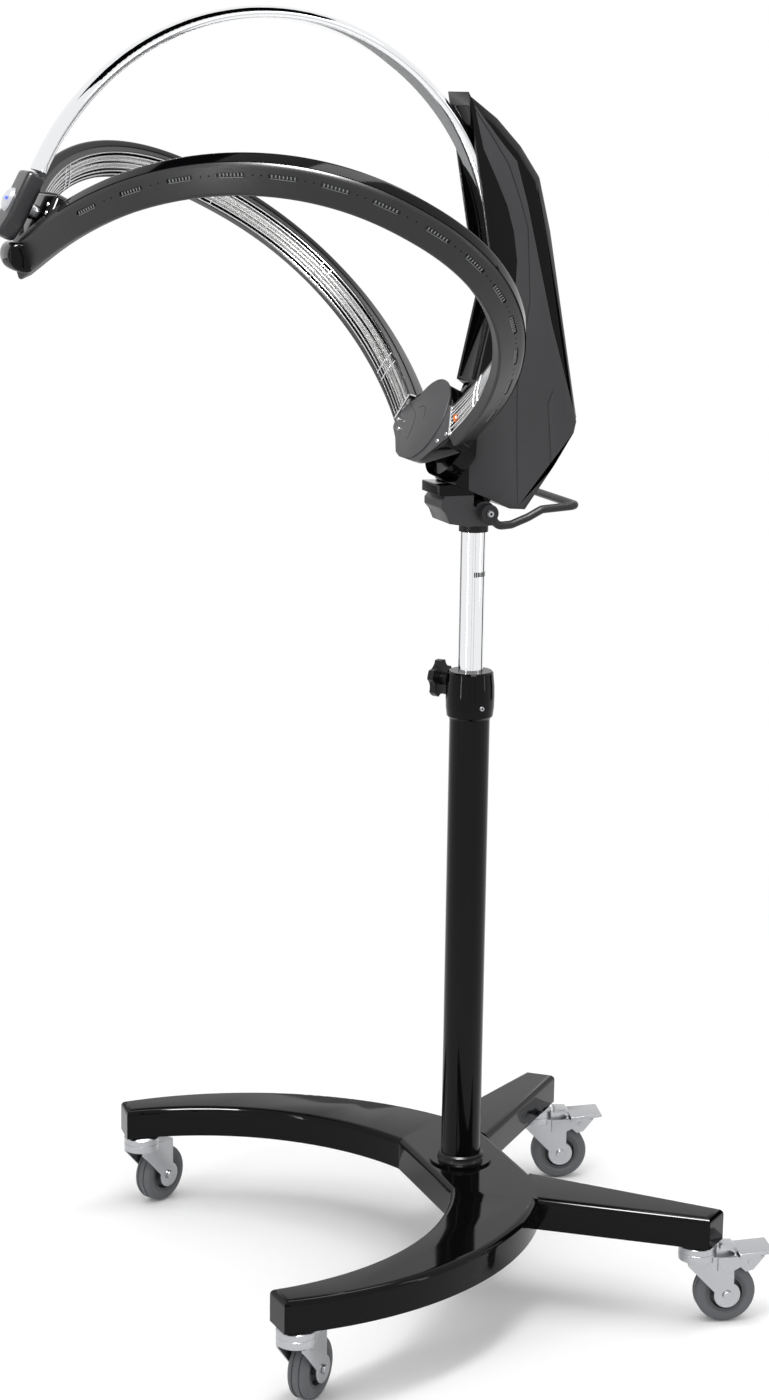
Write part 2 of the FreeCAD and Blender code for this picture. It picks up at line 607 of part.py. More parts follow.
def make_mast():
    turned("column_foot_ring", [("column_radius", "leg_floor_gap + leg_height + foot_bead_height"),
                                ("foot_ring_radius + 1.5", "leg_floor_gap + leg_height + foot_bead_height"),
                                ("foot_ring_radius", "leg_floor_gap + leg_height + foot_bead_height + 3"),
                                ("foot_ring_radius", "leg_floor_gap + leg_height + foot_ring_height - 2"),
                                ("foot_ring_radius - 2", "leg_floor_gap + leg_height + foot_ring_height"),
                                ("column_radius", "leg_floor_gap + leg_height + foot_ring_height")], place())
    column = turned("column_tube", tube_profile("column_radius - column_wall", "column_radius",
                                                "leg_floor_gap", "column_top"), knob_frame())
    stud_hole(column, "column_radius + 5")
    mouth = "(tube_radius + 0.4)"
    collar = turned("clamp_collar", [
        ("column_radius", "collar_bottom"), ("collar_foot_radius - 0.8", "collar_bottom"),
        ("collar_foot_radius", "collar_bottom + 1.5"), ("collar_foot_radius + 1.6", "collar_bottom + 3"),
        ("collar_radius - 0.3", "collar_bottom + 14"), ("collar_radius", "collar_bottom + 27"),
        ("collar_radius - 0.3", "collar_bottom + 40"), ("collar_mouth_radius", "collar_top - 2"),
        ("collar_mouth_radius - 2", "collar_top"), (mouth, "collar_top"), (mouth, "column_top"),
        ("column_radius", "column_top")], knob_frame())
    stud_hole(collar, "collar_radius + 5")
    bush = turned("guide_bush", tube_profile("tube_radius + slide_gap", "column_radius - column_wall",
                                             "column_top - bush_length", "column_top"), knob_frame())
    stud_hole(bush, "column_radius + 5")
    turned("inner_tube", tube_profile("tube_radius - tube_wall", "tube_radius", "tube_bottom", "tube_top"), place())


def make_knob():
    """Star knob on its stud; its own Z axis is the stud's axis, Z = 0 on the mast axis."""
    body = body_named("clamp_knob")
    disc = sketch_on(body, "XY_Plane", "knob_distance")
    circle(disc, "0", "0", "knob_radius")
    pad(body, disc, "knob_thick")
    scoop = sketch_on(body, "XY_Plane", "knob_distance - 1")
    circle(scoop, "knob_radius + 0.62 * knob_scoop", "0", "knob_scoop")
    cut = pocket(body, scoop, "knob_thick + 2", reverse=True)
    doc.recompute()
    around = body.newObject("PartDesign::PolarPattern", "Lobes")
    around.Originals = [cut]
    around.Axis = (scoop, ["N_Axis"])
    around.Angle = 360
    around.setExpression("Occurrences", bound("knob_lobes"))
    body.Tip = around
    boss = sketch_on(body, "XY_Plane", "collar_radius + 0.6")
    circle(boss, "0", "0", "2 * stud_radius")
    pad(body, boss, "knob_distance + knob_thick + 3 - collar_radius - 0.6")
    stud = sketch_on(body, "XY_Plane", "tube_radius + swivel_gap")
    circle(stud, "0", "0", "stud_radius")
    pad(body, stud, "knob_distance - tube_radius - swivel_gap")
    turn = Rotation(Vector(0, 0, 1), number("knob_turn")).multiply(Rotation(Vector(0, 1, 0), 90))
    finish("clamp_knob", body, place(z="knob_height", turn=turn))


# ---------------------------------------------------------------------------------------
# head joint: block that turns on the inner tube, tilt shaft, lug of the housing, lever


def make_head_block():
    turned("swivel_sleeve", tube_profile("tube_radius + running_gap", "sleeve_radius", "sleeve_bottom",
                                         "sleeve_bottom + sleeve_length"), place())
    body = body_named("head_block")
    sketch = sketch_on(body, "YZ_Plane")
    low = "(sleeve_bottom + sleeve_length)"
    nose = "(pivot_up + 10)"
    outline(sketch, [("-block_front + 3", "block_top"), ("-block_front + 3", f"{nose} + 10"),
                     ("-block_front - 2", f"{nose} + 4"), ("-block_front - 2", f"{nose} - 4"),
                     ("-block_front + 4", f"{nose} - 11"), ("-block_front + 9", f"{low} + 4"),
                     ("-sleeve_radius - 1", low), ("sleeve_radius", low), ("sleeve_radius", "pivot_up - 4"),
                     ("pivot_back", "pivot_up - 2"), ("-12", "pivot_up + 8"), ("-12", "block_top")])
    pad(body, sketch, "2 * block_half", midplane=True)
    ears = sketch_on(body, "YZ_Plane")
    circle(ears, "pivot_back", "pivot_up", "pivot_boss")
    pad(body, ears, "2 * block_half", midplane=True)
    slot = sketch_on(body, "YZ_Plane")
    outline(slot, [("-14", "tube_top + 0.5"), ("sleeve_radius + 10", "tube_top + 0.5"),
                   ("sleeve_radius + 10", "block_top + 5"), ("-14", "block_top + 5")])
    pocket(body, slot, "2 * (lug_half + swivel_gap)", midplane=True)
    bore = sketch_on(body, "XY_Plane", low)
    circle(bore, "0", "0", "tube_radius + running_gap")
    pocket(body, bore, f"tube_top + swivel_gap - {low}", reverse=True)
    shaft = sketch_on(body, "YZ_Plane")
    circle(shaft, "pivot_back", "pivot_up", "tilt_pin_radius")
    pocket(body, shaft, "2 * block_half + 2", midplane=True)
    finish("head_block", body, place())


def tilt_frame():
    """Frame on the tilt axis with Z along it, towards +X."""
    return place("0", "pivot_back", "pivot_up", Rotation(Vector(0, 1, 0), 90))


def make_tilt_shaft():
    end = "(lever_out + lever_rod + 1 + tilt_end)"
    turned("tilt_shaft", [("0", "-block_half - 4"), ("tilt_head_radius", "-block_half - 4"),
                          ("tilt_head_radius", "-block_half"), ("tilt_pin_radius", "-block_half"),
                          ("tilt_pin_radius", end), ("0", end)], tilt_frame())


def arc_route(points, radius):
    """Wire through the points with each inner corner rounded by an arc."""
    edges = []
    start = points[0]
    for before, corner, after in zip(points, points[1:], points[2:]):
        a, b = (before - corner).normalize(), (after - corner).normalize()
        half = a.getAngle(b) / 2
        setback = radius / math.tan(half)
        first, last = corner + a * setback, corner + b * setback
        toward = (a + b).normalize()
        peak = corner + toward * (radius / math.sin(half) - radius)
        edges += [Part.LineSegment(start, first).toShape(), Part.Arc(first, peak, last).toShape()]
        start = last
    edges.append(Part.LineSegment(start, points[-1]).toShape())
    return Part.Wire(edges)


def make_lever():
    """Bent rod from a hub on the tilt shaft to a grip bar across the back."""
    out, rod = number("lever_out"), number("lever_rod")
    back, up = number("pivot_back"), number("pivot_up")
    reach, grip = number("lever_reach"), number("lever_grip")
    hub_radius = number("pivot_boss") - 2
    hub = Part.makeCylinder(hub_radius, 2 * rod + 2, Vector(out - rod - 1, back, up), Vector(1, 0, 0))
    bore = Part.makeCylinder(number("tilt_pin_radius + running_gap"), 2 * rod + 4,
                             Vector(out - rod - 2, back, up), Vector(1, 0, 0))
    points = [Vector(out, back + y, up + z) for y, z in
              ((3, -4), (13, -16), (30, -15), (52, -7), (70, 2), (reach - back, 5))]
    points.append(Vector(out - grip, reach, up + 5))
    route = arc_route(points, 2.2 * rod)
    tip = Part.Wire(Part.Circle(points[0], points[1] - points[0], rod).toShape())
    rod_shape = route.makePipeShell([tip], True, False, 0)
    round_end = Part.makeSphere(rod, points[-1])
    item = doc.addObject("Part::Feature", "HandleLever")
    item.Shape = hub.fuse([rod_shape, round_end]).cut(bore).removeSplitter()
    finish("handle_lever", item, place())


# ---------------------------------------------------------------------------------------
# ring frame: origin at the rear disc's centre, Z along the ring's axis towards the front
# pivot, X across the stand, Y square to both and pointing up


def ring_frame(along="0"):
    rise = math.radians(number("axis_rise"))
    axis = Vector(0, -math.cos(rise), math.sin(rise))
    foot = Vector(0, number("mast_back - axis_foot_front"), number("axis_foot_up"))
    return Placement(foot + axis * number(along), Rotation(Vector(1, 0, 0), 90 - number("axis_rise")))


def on_axis_plane(along, up):
    """Corner in the housing's side outline from a place in the ring frame."""
    return (f"-axis_foot_front - ({along}) * cos(axis_rise) + ({up}) * sin(axis_rise)",
            f"axis_foot_up + ({along}) * sin(axis_rise) + ({up}) * cos(axis_rise)")


# ---------------------------------------------------------------------------------------
# housing: glossy core with the front channel, matte side panels, rear cover

CUP_REAR = "(-disc_thick - hub_depth - cup_gap - cup_depth)"
CUP_FRONT = "(-disc_thick - hub_depth - cup_gap)"
CUP_TOP = "(disc_radius - 2.2)"
CUP_HALF = "(housing_half - side_panel_thick - swivel_gap)"
RING_CLEAR = "(disc_radius + 12)"
CROWN = ("-crown_front", "crown_up")
FRONT_WAIST = ("waist_front_back", "waist_front_up")
FOOT = ("-housing_foot_front", "housing_foot_up")
BOTTOM = [("pivot_back + 4", "pivot_up + 15.5"), ("pivot_back + 30", "heel_up + 1.5"), ("heel_back", "heel_up")]
REAR_FOOT = [("heel_back + 38", "heel_up + 53"), ("belly_back - 8", "belly_up - 14"), ("belly_back - 5", "belly_up")]
SEAM = [("belly_back - 23", "belly_up + 59"), ("belly_back - 41", "belly_up + 119"),
        ("belly_back - 59", "belly_up + 191"), ("belly_back - 76", "belly_up + 260"),
        ("belly_back - 91", "belly_up + 309"), ("belly_back - 110", "belly_up + 330")]
PANEL_TOP = ("-crown_front + 7", "crown_up - 14")
PANEL_FRONT = [("waist_front_back - 21", "waist_front_up + 172"), ("waist_front_back - 5", "waist_front_up + 140"),
               ("waist_front_back + 11", "waist_front_up + 106"), ("waist_front_back + 20", "waist_front_up + 76"),
               ("waist_front_back + 25", "waist_front_up + 43"), ("waist_front_back + 24", "waist_front_up + 8"),
               ("waist_front_back + 6", "waist_front_up - 62"), ("waist_front_back - 18", "waist_front_up - 125"),
               ("-housing_foot_front", "housing_foot_up + 60")]
PANEL = [FOOT] + BOTTOM + REAR_FOOT + SEAM + [PANEL_TOP] + PANEL_FRONT


def make_core():
    body = body_named("housing_core")
    sketch = sketch_on(body, "YZ_Plane")
    chin = [on_axis_plane(CUP_REAR, CUP_TOP), on_axis_plane(CUP_REAR, "-cup_radius")]
    brow = on_axis_plane(f"{CUP_FRONT} + 12", f"{RING_CLEAR} + 2")
    step = [on_axis_plane(CUP_FRONT, RING_CLEAR), on_axis_plane(CUP_FRONT, CUP_TOP)]
    outline(sketch, [CROWN, FRONT_WAIST, brow] + step + chin + [FOOT] + BOTTOM + REAR_FOOT + SEAM + [PANEL_TOP])
    pad(body, sketch, "2 * housing_half", midplane=True)
    for sign, away in (("", True), ("-", False)):
        recess = sketch_on(body, "YZ_Plane", f"{sign}(housing_half - side_panel_thick)")
        outline(recess, PANEL)
        pocket(body, recess, "side_panel_thick + 1", reverse=away)
    channel = sketch_on(body, "YZ_Plane")
    outline(channel, [("-crown_front - 60", "crown_up - 16"), ("-crown_front + 4", "crown_up - 16"),
                      ("-crown_front + 18", "crown_up - 46"), ("-crown_front + 41", "crown_up - 95"),
                      ("waist_front_back + 16", "waist_front_up + 88"), ("waist_front_back + 22", "waist_front_up + 46"),
                      ("waist_front_back + 22", "waist_front_up + 39"), ("waist_front_back + 12", "waist_front_up - 2"),
                      (brow[0] + " + 3", brow[1] + " + 3"), (brow[0] + " - 60", brow[1] + " + 3")])
    pocket(body, channel, "2 * channel_half", midplane=True)
    ledge = sketch_on(body, "YZ_Plane")
    outline(ledge, [("waist_front_back + 2", "ledge_up - 1.4"), ("waist_front_back + 24", "ledge_up + 0.4"),
                    ("waist_front_back + 24", "ledge_up - 24"), ("waist_front_back + 12", "ledge_up - 24")])
    pad(body, ledge, "arch_width", midplane=True)
    shelf = sketch_on(body, "YZ_Plane")
    outline(shelf, [("-shelf_front", "block_top + swivel_gap"), ("-shelf_rear", "block_top + swivel_gap"),
                    ("-shelf_rear", "housing_foot_up + 6"), ("-shelf_front", "housing_foot_up + 6")])
    pad(body, shelf, "2 * shelf_half", midplane=True)
    lug = sketch_on(body, "YZ_Plane")
    outline(lug, [("pivot_back - lug_radius", "pivot_up + 32"), ("pivot_back - lug_radius", "pivot_up"),
                  ("pivot_back + lug_radius", "pivot_up"), ("pivot_back + lug_radius + 6", "pivot_up + 22")])
    pad(body, lug, "2 * lug_half", midplane=True)
    eye = sketch_on(body, "YZ_Plane")
    circle(eye, "pivot_back", "pivot_up", "lug_radius")
    pad(body, eye, "2 * lug_half", midplane=True)
    bore = sketch_on(body, "YZ_Plane")
    circle(bore, "pivot_back", "pivot_up", "tilt_pin_radius + running_gap")
    pocket(body, bore, "2 * lug_half + 2", midplane=True)
    finish("housing_core", body, place())


PARTING = [("-crown_front + 6", "crown_up - 17"), ("waist_front_back - 11", "waist_front_up + 187"),
           ("waist_front_back + 11", "waist_front_up + 155"), ("waist_front_back + 26", "waist_front_up + 117"),
           ("waist_front_back + 38", "waist_front_up + 81"), ("waist_front_back + 43", "waist_front_up - 5"),
           ("waist_front_back + 29", "waist_front_up - 104"), ("waist_front_back + 30", "waist_front_up - 171"),
           ("waist_front_back + 33", "heel_up + 5")]
HATCH = [("belly_back - 36", "belly_up + 39"), ("belly_back - 43", "belly_up + 23"),
         ("belly_back - 38", "belly_up - 42"), ("belly_back - 38", "heel_up + 47")]


def groove(body, line, lift, away):
    """Square groove along an open line of corners, cut from the plane at lift."""
    half = "panel_groove / 2"
    sketch = sketch_on(body, "YZ_Plane", lift)
    left = [(f"{y} - {half}", z) for y, z in line]
    right = [(f"{y} + {half}", z) for y, z in reversed(line)]
    outline(sketch, left + right)
    pocket(body, sketch, "panel_groove", reverse=away)


def make_side_panel(name, sign):
    """Matte skin let into one side of the core, with a parting groove and a hatch groove."""
    body = body_named(f"side_panel_{name}")
    inner, outer = "(housing_half - side_panel_thick)", "housing_half"
    sketch = sketch_on(body, "YZ_Plane", f"{sign} * {inner}")
    outline(sketch, PANEL)
    pad(body, sketch, "side_panel_thick", reverse=sign < 0)
    for line in (PARTING, HATCH):
        groove(body, line, f"{sign} * ({outer} - panel_groove)", sign > 0)
    finish(f"side_panel_{name}", body, place())


def make_rear_cover():
    """Gloss spine behind the panels, bevelled along both outer edges."""
    body = body_named("rear_cover")
    sketch = sketch_on(body, "YZ_Plane")
    back = [REAR_FOOT[-1], ("belly_back", "belly_up + 2"), ("belly_back - 26", "belly_up + 145"),
            ("belly_back - 41", "belly_up + 226"), ("belly_back - 57", "belly_up + 290"),
            ("belly_back - 82", "belly_up + 326"), ("belly_back - 113", "belly_up + 358"), CROWN]
    outline(sketch, back + [PANEL_TOP] + SEAM[::-1])
    block = pad(body, sketch, "2 * housing_half", midplane=True)
    doc.recompute()
    spine = [(number(y), number(z)) for y, z in back[1:]]

    def on_spine(edge):
        ends = [(vertex.Y, vertex.Z) for vertex in edge.Vertexes]
        level = abs(edge.CenterOfMass.x) > number("housing_half") - 1
        return level and all(min(math.dist(end, spot) for spot in spine) < 0.01 for end in ends)

    bevel = body.newObject("PartDesign::Chamfer", "Bevel_rear_cover")
    bevel.Base = (block, [f"Edge{i}" for i, edge in enumerate(block.Shape.Edges, 1) if on_spine(edge)])
    bevel.setExpression("Size", bound("cover_edge"))
    finish("rear_cover", body, place())


def make_cup():
    """Fixed cup whose bore carries the ring's drive shaft, flat at its sides and top."""
    body = body_named("bearing_cup")
    disc = sketch_on(body, "XY_Plane", CUP_REAR)
    circle(disc, "0", "0", "cup_radius")
    pad(body, disc, "cup_depth")
    for corners in ([(CUP_HALF, "-80"), ("80", "-80"), ("80", "80"), (CUP_HALF, "80")],
                    [("-80", "-80"), (f"-{CUP_HALF}", "-80"), (f"-{CUP_HALF}", "80"), ("-80", "80")],
                    [("-80", CUP_TOP), ("80", CUP_TOP), ("80", "80"), ("-80", "80")]):
        trim = sketch_on(body, "XY_Plane", f"{CUP_REAR} - 1")
        outline(trim, corners)
        pocket(body, trim, "cup_depth + 2", reverse=True)
    bore = sketch_on(body, "XY_Plane", f"{CUP_REAR} - 1")
    circle(bore, "0", "0", "shaft_radius + running_gap")
    pocket(body, bore, "cup_depth + 2", reverse=True)
    finish("bearing_cup", body, ring_frame())


# ---------------------------------------------------------------------------------------
# chrome arch in the middle plane, its end block and the indicator


def spline_wire(point_at, first, last, count):
    """Smooth wire through points of a curve given as a function of an angle."""
    points = [point_at(first + (last - first) * k / (count - 1)) for k in range(count)]
    curve = Part.BSplineCurve()
    curve.interpolate(points)
    return Part.Wire(curve.toShape()), points


def section_wire(origin, aside, outward, corners):
    """Closed polygon of (aside, outward) corners at a place on a path."""
    points = [origin + aside * a + outward * b for a, b in corners]
    return Part.makePolygon(points + points[:1])


def make_arch():
    """Arc of an ellipse from the housing's ledge to the end block, bowed over the outside."""
    slim = number("arch_slim")
    first, last = (math.radians(number(name)) for name in ("arch_root", "arch_end"))
    root = complex(number("waist_front_back + arch_seat"), number("ledge_up + 0.6"))
    end = complex(*(number(part) for part in
                    on_axis_plane("axis_length + block_plate_back + arch_end_past", "end_block_top + arch_end_over")))

    def on_ellipse(angle):
        return complex(math.cos(angle), slim * math.sin(angle))

    turn = (end - root) / (on_ellipse(last) - on_ellipse(first))

    def point_at(angle):
        spot = root + turn * (on_ellipse(angle) - on_ellipse(first))
        return Vector(0, spot.real, spot.imag)

    path, points = spline_wire(point_at, first, last, 13)
    tangent = path.Edges[0].tangentAt(path.Edges[0].FirstParameter)
    inward = Vector(1, 0, 0).cross(tangent).normalize()
    centre = (points[0] + points[-1]) / 2
    inward = inward if inward.dot(centre - points[0]) > 0 else inward * -1
    half, thick = number("arch_width / 2"), number("arch_thick")

    def at(aside, depth):
        return points[0] + Vector(aside, 0, 0) + inward * depth

    shoulder = 0.6 * thick
    edges = [Part.Arc(at(-half, shoulder), at(0, 0), at(half, shoulder)).toShape(),
             Part.makePolygon([at(half, shoulder), at(half - 3, thick), at(3 - half, thick), at(-half, shoulder)])]
    section = Part.Wire([edge for shape in edges for edge in shape.Edges])
    item = doc.addObject("Part::Feature", "Arch")
    item.Shape = path.makePipeShell([section], True, True, 0)
    finish("arch", item, place())


def make_end_block():
    body = body_named("arch_end_block")
    sketch = sketch_on(body, "XY_Plane")
    outline(sketch, [("-end_block_half + 2", "end_block_top"), ("-end_block_half", "-end_block_low / 2"),
                     ("-end_block_half / 2", "-end_block_low"), ("end_block_half / 2", "-end_block_low"),
                     ("end_block_half", "-end_block_low / 2"), ("end_block_half - 2", "end_block_top")])
    block = pad(body, sketch, "block_plate_thick")
    front = number("block_plate_thick")
    rounded(body, block, "block_plate_thick / 4",
            lambda edge: all(abs(v.Z - front) < 1e-3 for v in edge.Vertexes) and edge.CenterOfMass.y < number("end_block_top - 1"))
    finish("arch_end_block", body, ring_frame("axis_length + block_plate_back"))

    long, wide, proud = number("lens_long / 2"), number("lens_wide / 2"), number("lens_proud")
    rings = []
    for height, share in ((0, 1), (0.45, 0.9), (0.8, 0.62), (1, 0.25)):
        oval = Part.Ellipse(Vector(0, 0, 0), long * share, wide * share).toShape()
        ring = Part.Wire(oval)
        ring.Placement = Placement(Vector(0, 0, proud * height), Rotation(Vector(0, 0, 1), 90))
        rings.append(ring)
    lens = doc.addObject("Part::Feature", "IndicatorLens")
    lens.Shape = Part.makeLoft(rings, True, True)
    finish("indicator_lens", lens, ring_frame("axis_length + block_plate_back + block_plate_thick"))


# ---------------------------------------------------------------------------------------
# ring: rear hub on the drive shaft, front hub on the pivot pin, two curved arms


def rear_plan(sketch):
    """Plan of the rear hub: disc, a wing square to each arm, and a flat keel."""
    right, up = "sin(arm_splay)", "cos(arm_splay)"
    low, high = ((f"rear_root * {right} + ({along}) * {up}", f"-arm_drop + rear_root * {up} - ({along}) * {right}")
                 for along in ("wing_under", "-wing_over"))
    bearing = math.atan2(number(high[1]), number(high[0]))
    reach = math.hypot(number(high[0]), number(high[1]))
    touch = math.degrees(bearing + math.acos(number("disc_radius") / reach))
    tangent = (f"disc_radius * cos({touch})", f"disc_radius * sin({touch})")
    half = [("hub_keel_half", "-hub_keel"), low, high, tangent]
    corners = half + [(f"-({x})", y) for x, y in reversed(half)]
    outline(sketch, corners, {3: "disc_radius"})


def make_rear_hub():
    body = body_named("rear_hub")
    sketch = sketch_on(body, "XY_Plane", "-disc_thick")
    rear_plan(sketch)
    pad(body, sketch, "hub_depth", reverse=True)
    bore = sketch_on(body, "XY_Plane", "-disc_thick - hub_depth - 1")
    circle(bore, "0", "0", "shaft_radius")
    pocket(body, bore, "hub_depth", reverse=True)
    finish("rear_hub", body, ring_frame())

    plate = body_named("rear_hub_plate")
    sketch = sketch_on(plate, "XY_Plane", "-disc_thick")
    rear_plan(sketch)
    pad(plate, sketch, "disc_thick")
    finish("rear_hub_plate", plate, ring_frame())
    turned("drive_shaft", [("0", f"{CUP_REAR} + 1"), ("shaft_radius", f"{CUP_REAR} + 1"),
                           ("shaft_radius", "-disc_thick - 1"), ("0", "-disc_thick - 1")], ring_frame())


# Section of an arm, seen along it: a open channel whose mouth faces the client. The first
# number runs square to the arm's plane, away from the top; the second outwards.
ARM_SECTION = [(-17.2, -2.5), (-17.6, 16.8), (4.2, 7.3), (22.5, -5.0), (11.7, -16.2)]


def offset_line(points, distance):
    """Open polyline moved sideways by a distance, its corners mitred."""
    vectors = [Vector(a, b, 0) for a, b in points]
    sides = [(b - a).normalize() for a, b in zip(vectors, vectors[1:])]
    normals = [Vector(side.y, -side.x, 0) for side in sides]
    result = [vectors[0] + normals[0] * distance]
    for corner, before, after in zip(vectors[1:], normals, normals[1:]):
        bisector = (before + after).normalize()
        result.append(corner + bisector * (distance / bisector.dot(before)))
    result.append(vectors[-1] + normals[-1] * distance)
    return [(v.x, v.y) for v in result]


def strip(points, near, far):
    """Closed section between two offsets of an open polyline."""
    return offset_line(points, near) + offset_line(points, far)[::-1]


class Arm:
    """Curve of one arm with the frame of its section at any place along it."""

    def __init__(self, side):
        splay = math.radians(number("arm_splay"))
        self.reach_way = Vector(side * math.sin(splay), math.cos(splay), 0)
        self.aside = Vector(side * math.cos(splay), -math.sin(splay), 0)
        self.middle = Vector(0, -number("arm_drop"), number("(axis_length + arm_rear) / 2"))
        self.long, self.reach = number("(axis_length - arm_rear) / 2"), number("arm_reach")
        self.square = number("arm_square")
        self.first, self.last = math.radians(5.0), math.radians(172.0)
        self.path, self.points = spline_wire(self.point_at, self.first, self.last, 21)

    def point_at(self, angle):
        """Place on the centre line, from the front end round to the rear end."""
        along, out = math.cos(angle), math.sin(angle)
        along = math.copysign(abs(along) ** self.square, along)
        return self.middle + Vector(0, 0, along * self.long) + self.reach_way * self.reach * out ** self.square

    def frame_at(self, angle):
        """Origin, aside, outward and forward directions at a place on the curve."""
        forward = (self.point_at(angle + 0.001) - self.point_at(angle - 0.001)).normalize()
        outward = forward.cross(self.aside).normalize()
        if outward.dot(self.point_at(angle) - self.middle) < 0:
            outward = outward * -1
        return self.point_at(angle), self.aside, outward, forward

    def sweep(self, corners):
        """Section carried along the whole arm."""
        origin, aside, outward, _ = self.frame_at(self.first)
        section = section_wire(origin, aside, outward, corners)
        return self.path.makePipeShell([section], True, True, 0)

    def inboard(self, root, front):
        """Box round what lies between the middle of the ring and one hub's wing end."""
        across = Vector(0, 0, 1).cross(self.reach_way)
        turn = Rotation(self.reach_way, across, Vector(0, 0, 1), "ZXY")
        box = Part.makeBox(self.long + number(root), 2 * self.long, 2 * self.long)
        low = self.middle - (self.reach_way + across) * self.long
        box.Placement = Placement(low - Vector(0, 0, 0 if front else 2 * self.long), turn)
        return box

    def trimmed(self, corners):
        """Section carried along the arm and cut square to it at both hubs."""
        return self.sweep(corners).cut([self.inboard("rear_root", False), self.inboard("front_root", True)])

    def angle_at(self, out):
        """Angle of the rear half of the curve at a distance from the line of its ends."""
        return math.pi - math.asin((out / self.reach) ** (1 / self.square))


def make_front_hub():
    """Solid ends of both arms, mitred in the middle plane, and the web that carries the pin."""
    web_rear, web_thick = number("axis_length - front_web_rear"), number("front_web_thick")
    half, top = number("front_web_half"), number("front_web_top")
    pieces = []
    for side in (-1, 1):
        arm = Arm(side)
        origin, aside, outward, forward = arm.frame_at(arm.first)
        bend = arm.sweep(ARM_SECTION).common(arm.inboard("front_root", True))
        stub = Part.Face(section_wire(origin, aside, outward, ARM_SECTION)).extrude(forward * -number("front_root"))
        own_side = Part.makeBox(2 * arm.long, 4 * arm.long, 4 * arm.long,
                                Vector(0 if side > 0 else -2 * arm.long, -2 * arm.long, 0))
        pieces += [bend, stub.common(own_side)]
    wing = arm.middle + arm.reach_way * number("0.8 * front_root")
    plan = [Vector(x, y, web_rear) for x, y in
            ((-half, top), (half, top), (wing.x, wing.y), (0, -number("arm_drop")), (-wing.x, wing.y))]
    web = Part.Face(Part.makePolygon(plan + plan[:1])).extrude(Vector(0, 0, web_thick))
    boss = Part.makeCylinder(number("2.2 * pin_radius"), number("front_web_rear + block_plate_back - 2"),
                             Vector(0, 0, web_rear))
    bore = Part.makeCylinder(number("pin_radius + running_gap"), 2 * web_thick, Vector(0, 0, web_rear + 6))
    item = doc.addObject("Part::Feature", "FrontHub")
    item.Shape = web.fuse(pieces + [boss]).cut(bore).removeSplitter()
    finish("front_hub", item, ring_frame())
    start, end = "axis_length - front_web_rear + 8", "axis_length + block_plate_back"
    turned("front_pivot_pin", [("0", start), ("pin_radius", start), ("pin_radius", end), ("0", end)], ring_frame())


def arm_piece(label, shape):
    item = doc.addObject("Part::Feature", "Piece_" + label)
    item.Shape = shape
    finish(label, item, ring_frame())


# The mouth of the section: its middle, the way along it towards its upper lip, the way in.
MOUTH_LOW, MOUTH_HIGH = Vector(*ARM_SECTION[-1], 0), Vector(*ARM_SECTION[0], 0)
MOUTH = (MOUTH_LOW + MOUTH_HIGH) / 2
MOUTH_WAY = (MOUTH_HIGH - MOUTH_LOW).normalize()
MOUTH_IN = Vector(-MOUTH_WAY.y, MOUTH_WAY.x, 0) * -1


def in_mouth(along, depth):
    """Place in the section from the middle of its mouth."""
    return MOUTH + MOUTH_WAY * along + MOUTH_IN * depth


def polygon(centre, radius, sides):
    """Corners of a regular polygon with a flat towards the mouth."""
    return [(centre.x + radius * math.cos(math.tau * (k + 0.5) / sides),
             centre.y + radius * math.sin(math.tau * (k + 0.5) / sides)) for k in range(sides)]


def make_arm(name, side):
    arm = Arm(side)
    wall, gap = number("shell_wall"), number("swivel_gap")
    arm_piece(f"arm_shell_{name}", arm.trimmed(strip(ARM_SECTION, 0, wall)))
    corner = ARM_SECTION[1]
    edge = [(corner[0], corner[1] - 6), corner, (corner[0] + 9.2, corner[1] - 4)]
    arm_piece(f"arm_band_{name}", arm.trimmed(strip(edge, -1.2, 0)))
    arm_piece(f"reflector_{name}", arm.trimmed(strip(ARM_SECTION, wall + gap, wall + gap + 0.8)))
    tube = polygon(in_mouth(0, 7.2), number("heater_radius"), round(number("heater_sides")))
    arm_piece(f"heater_tube_{name}", arm.trimmed(tube))
    wires = [arm.trimmed(polygon(in_mouth(along, 1.2), number("guard_wire") / math.sqrt(2), 4))
             for along in (-8, 0, 8)]
    arm_piece(f"wire_guard_{name}", Part.makeCompound(wires))


def make_sensor():
    """Temperature sensor that stands on the rear hub's wing end, inside the right arm's mouth."""
    arm, root = Arm(1), number("rear_root")
    origin, aside, outward, _ = arm.frame_at(arm.angle_at(root))
    spot = in_mouth(10.5, 6.5)
    foot = origin + aside * spot.x + outward * spot.y
    foot += arm.reach_way * (root - (foot - arm.middle).dot(arm.reach_way))
    item = doc.addObject("Part::Feature", "SensorStub")
    item.Shape = Part.makeCylinder(number("sensor_radius"), number("sensor_length"), foot, arm.reach_way)
    finish("temperature_sensor", item, ring_frame())


make_base()
make_caster_heads()
for name in CASTERS:
    make_fork(name)
    make_wheel(name)
    if name.startswith("rear"):
        make_brake(name)
make_mast()
make_knob()
make_head_block()
make_tilt_shaft()
make_lever()
make_core()
make_side_panel("left", -1)
make_side_panel("right", 1)
make_rear_cover()
make_cup()
make_arch()
make_end_block()
make_rear_hub()
make_front_hub()
for name, side in (("left", -1), ("right", 1)):
    make_arm(name, side)
make_sensor()
doc.recompute()

broken = [entry.Label for entry in doc.Objects if {"Invalid", "Error"} & set(entry.State)]
broken += [label for label, item in parts if item.Shape.isNull() or not item.Shape.isValid()]
if broken:
    raise SystemExit("these objects do not build: " + ", ".join(broken))

os.makedirs("parts", exist_ok=True)
for label, item in parts:
    item.Shape.exportStep(f"parts/{label}.step")
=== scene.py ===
import math

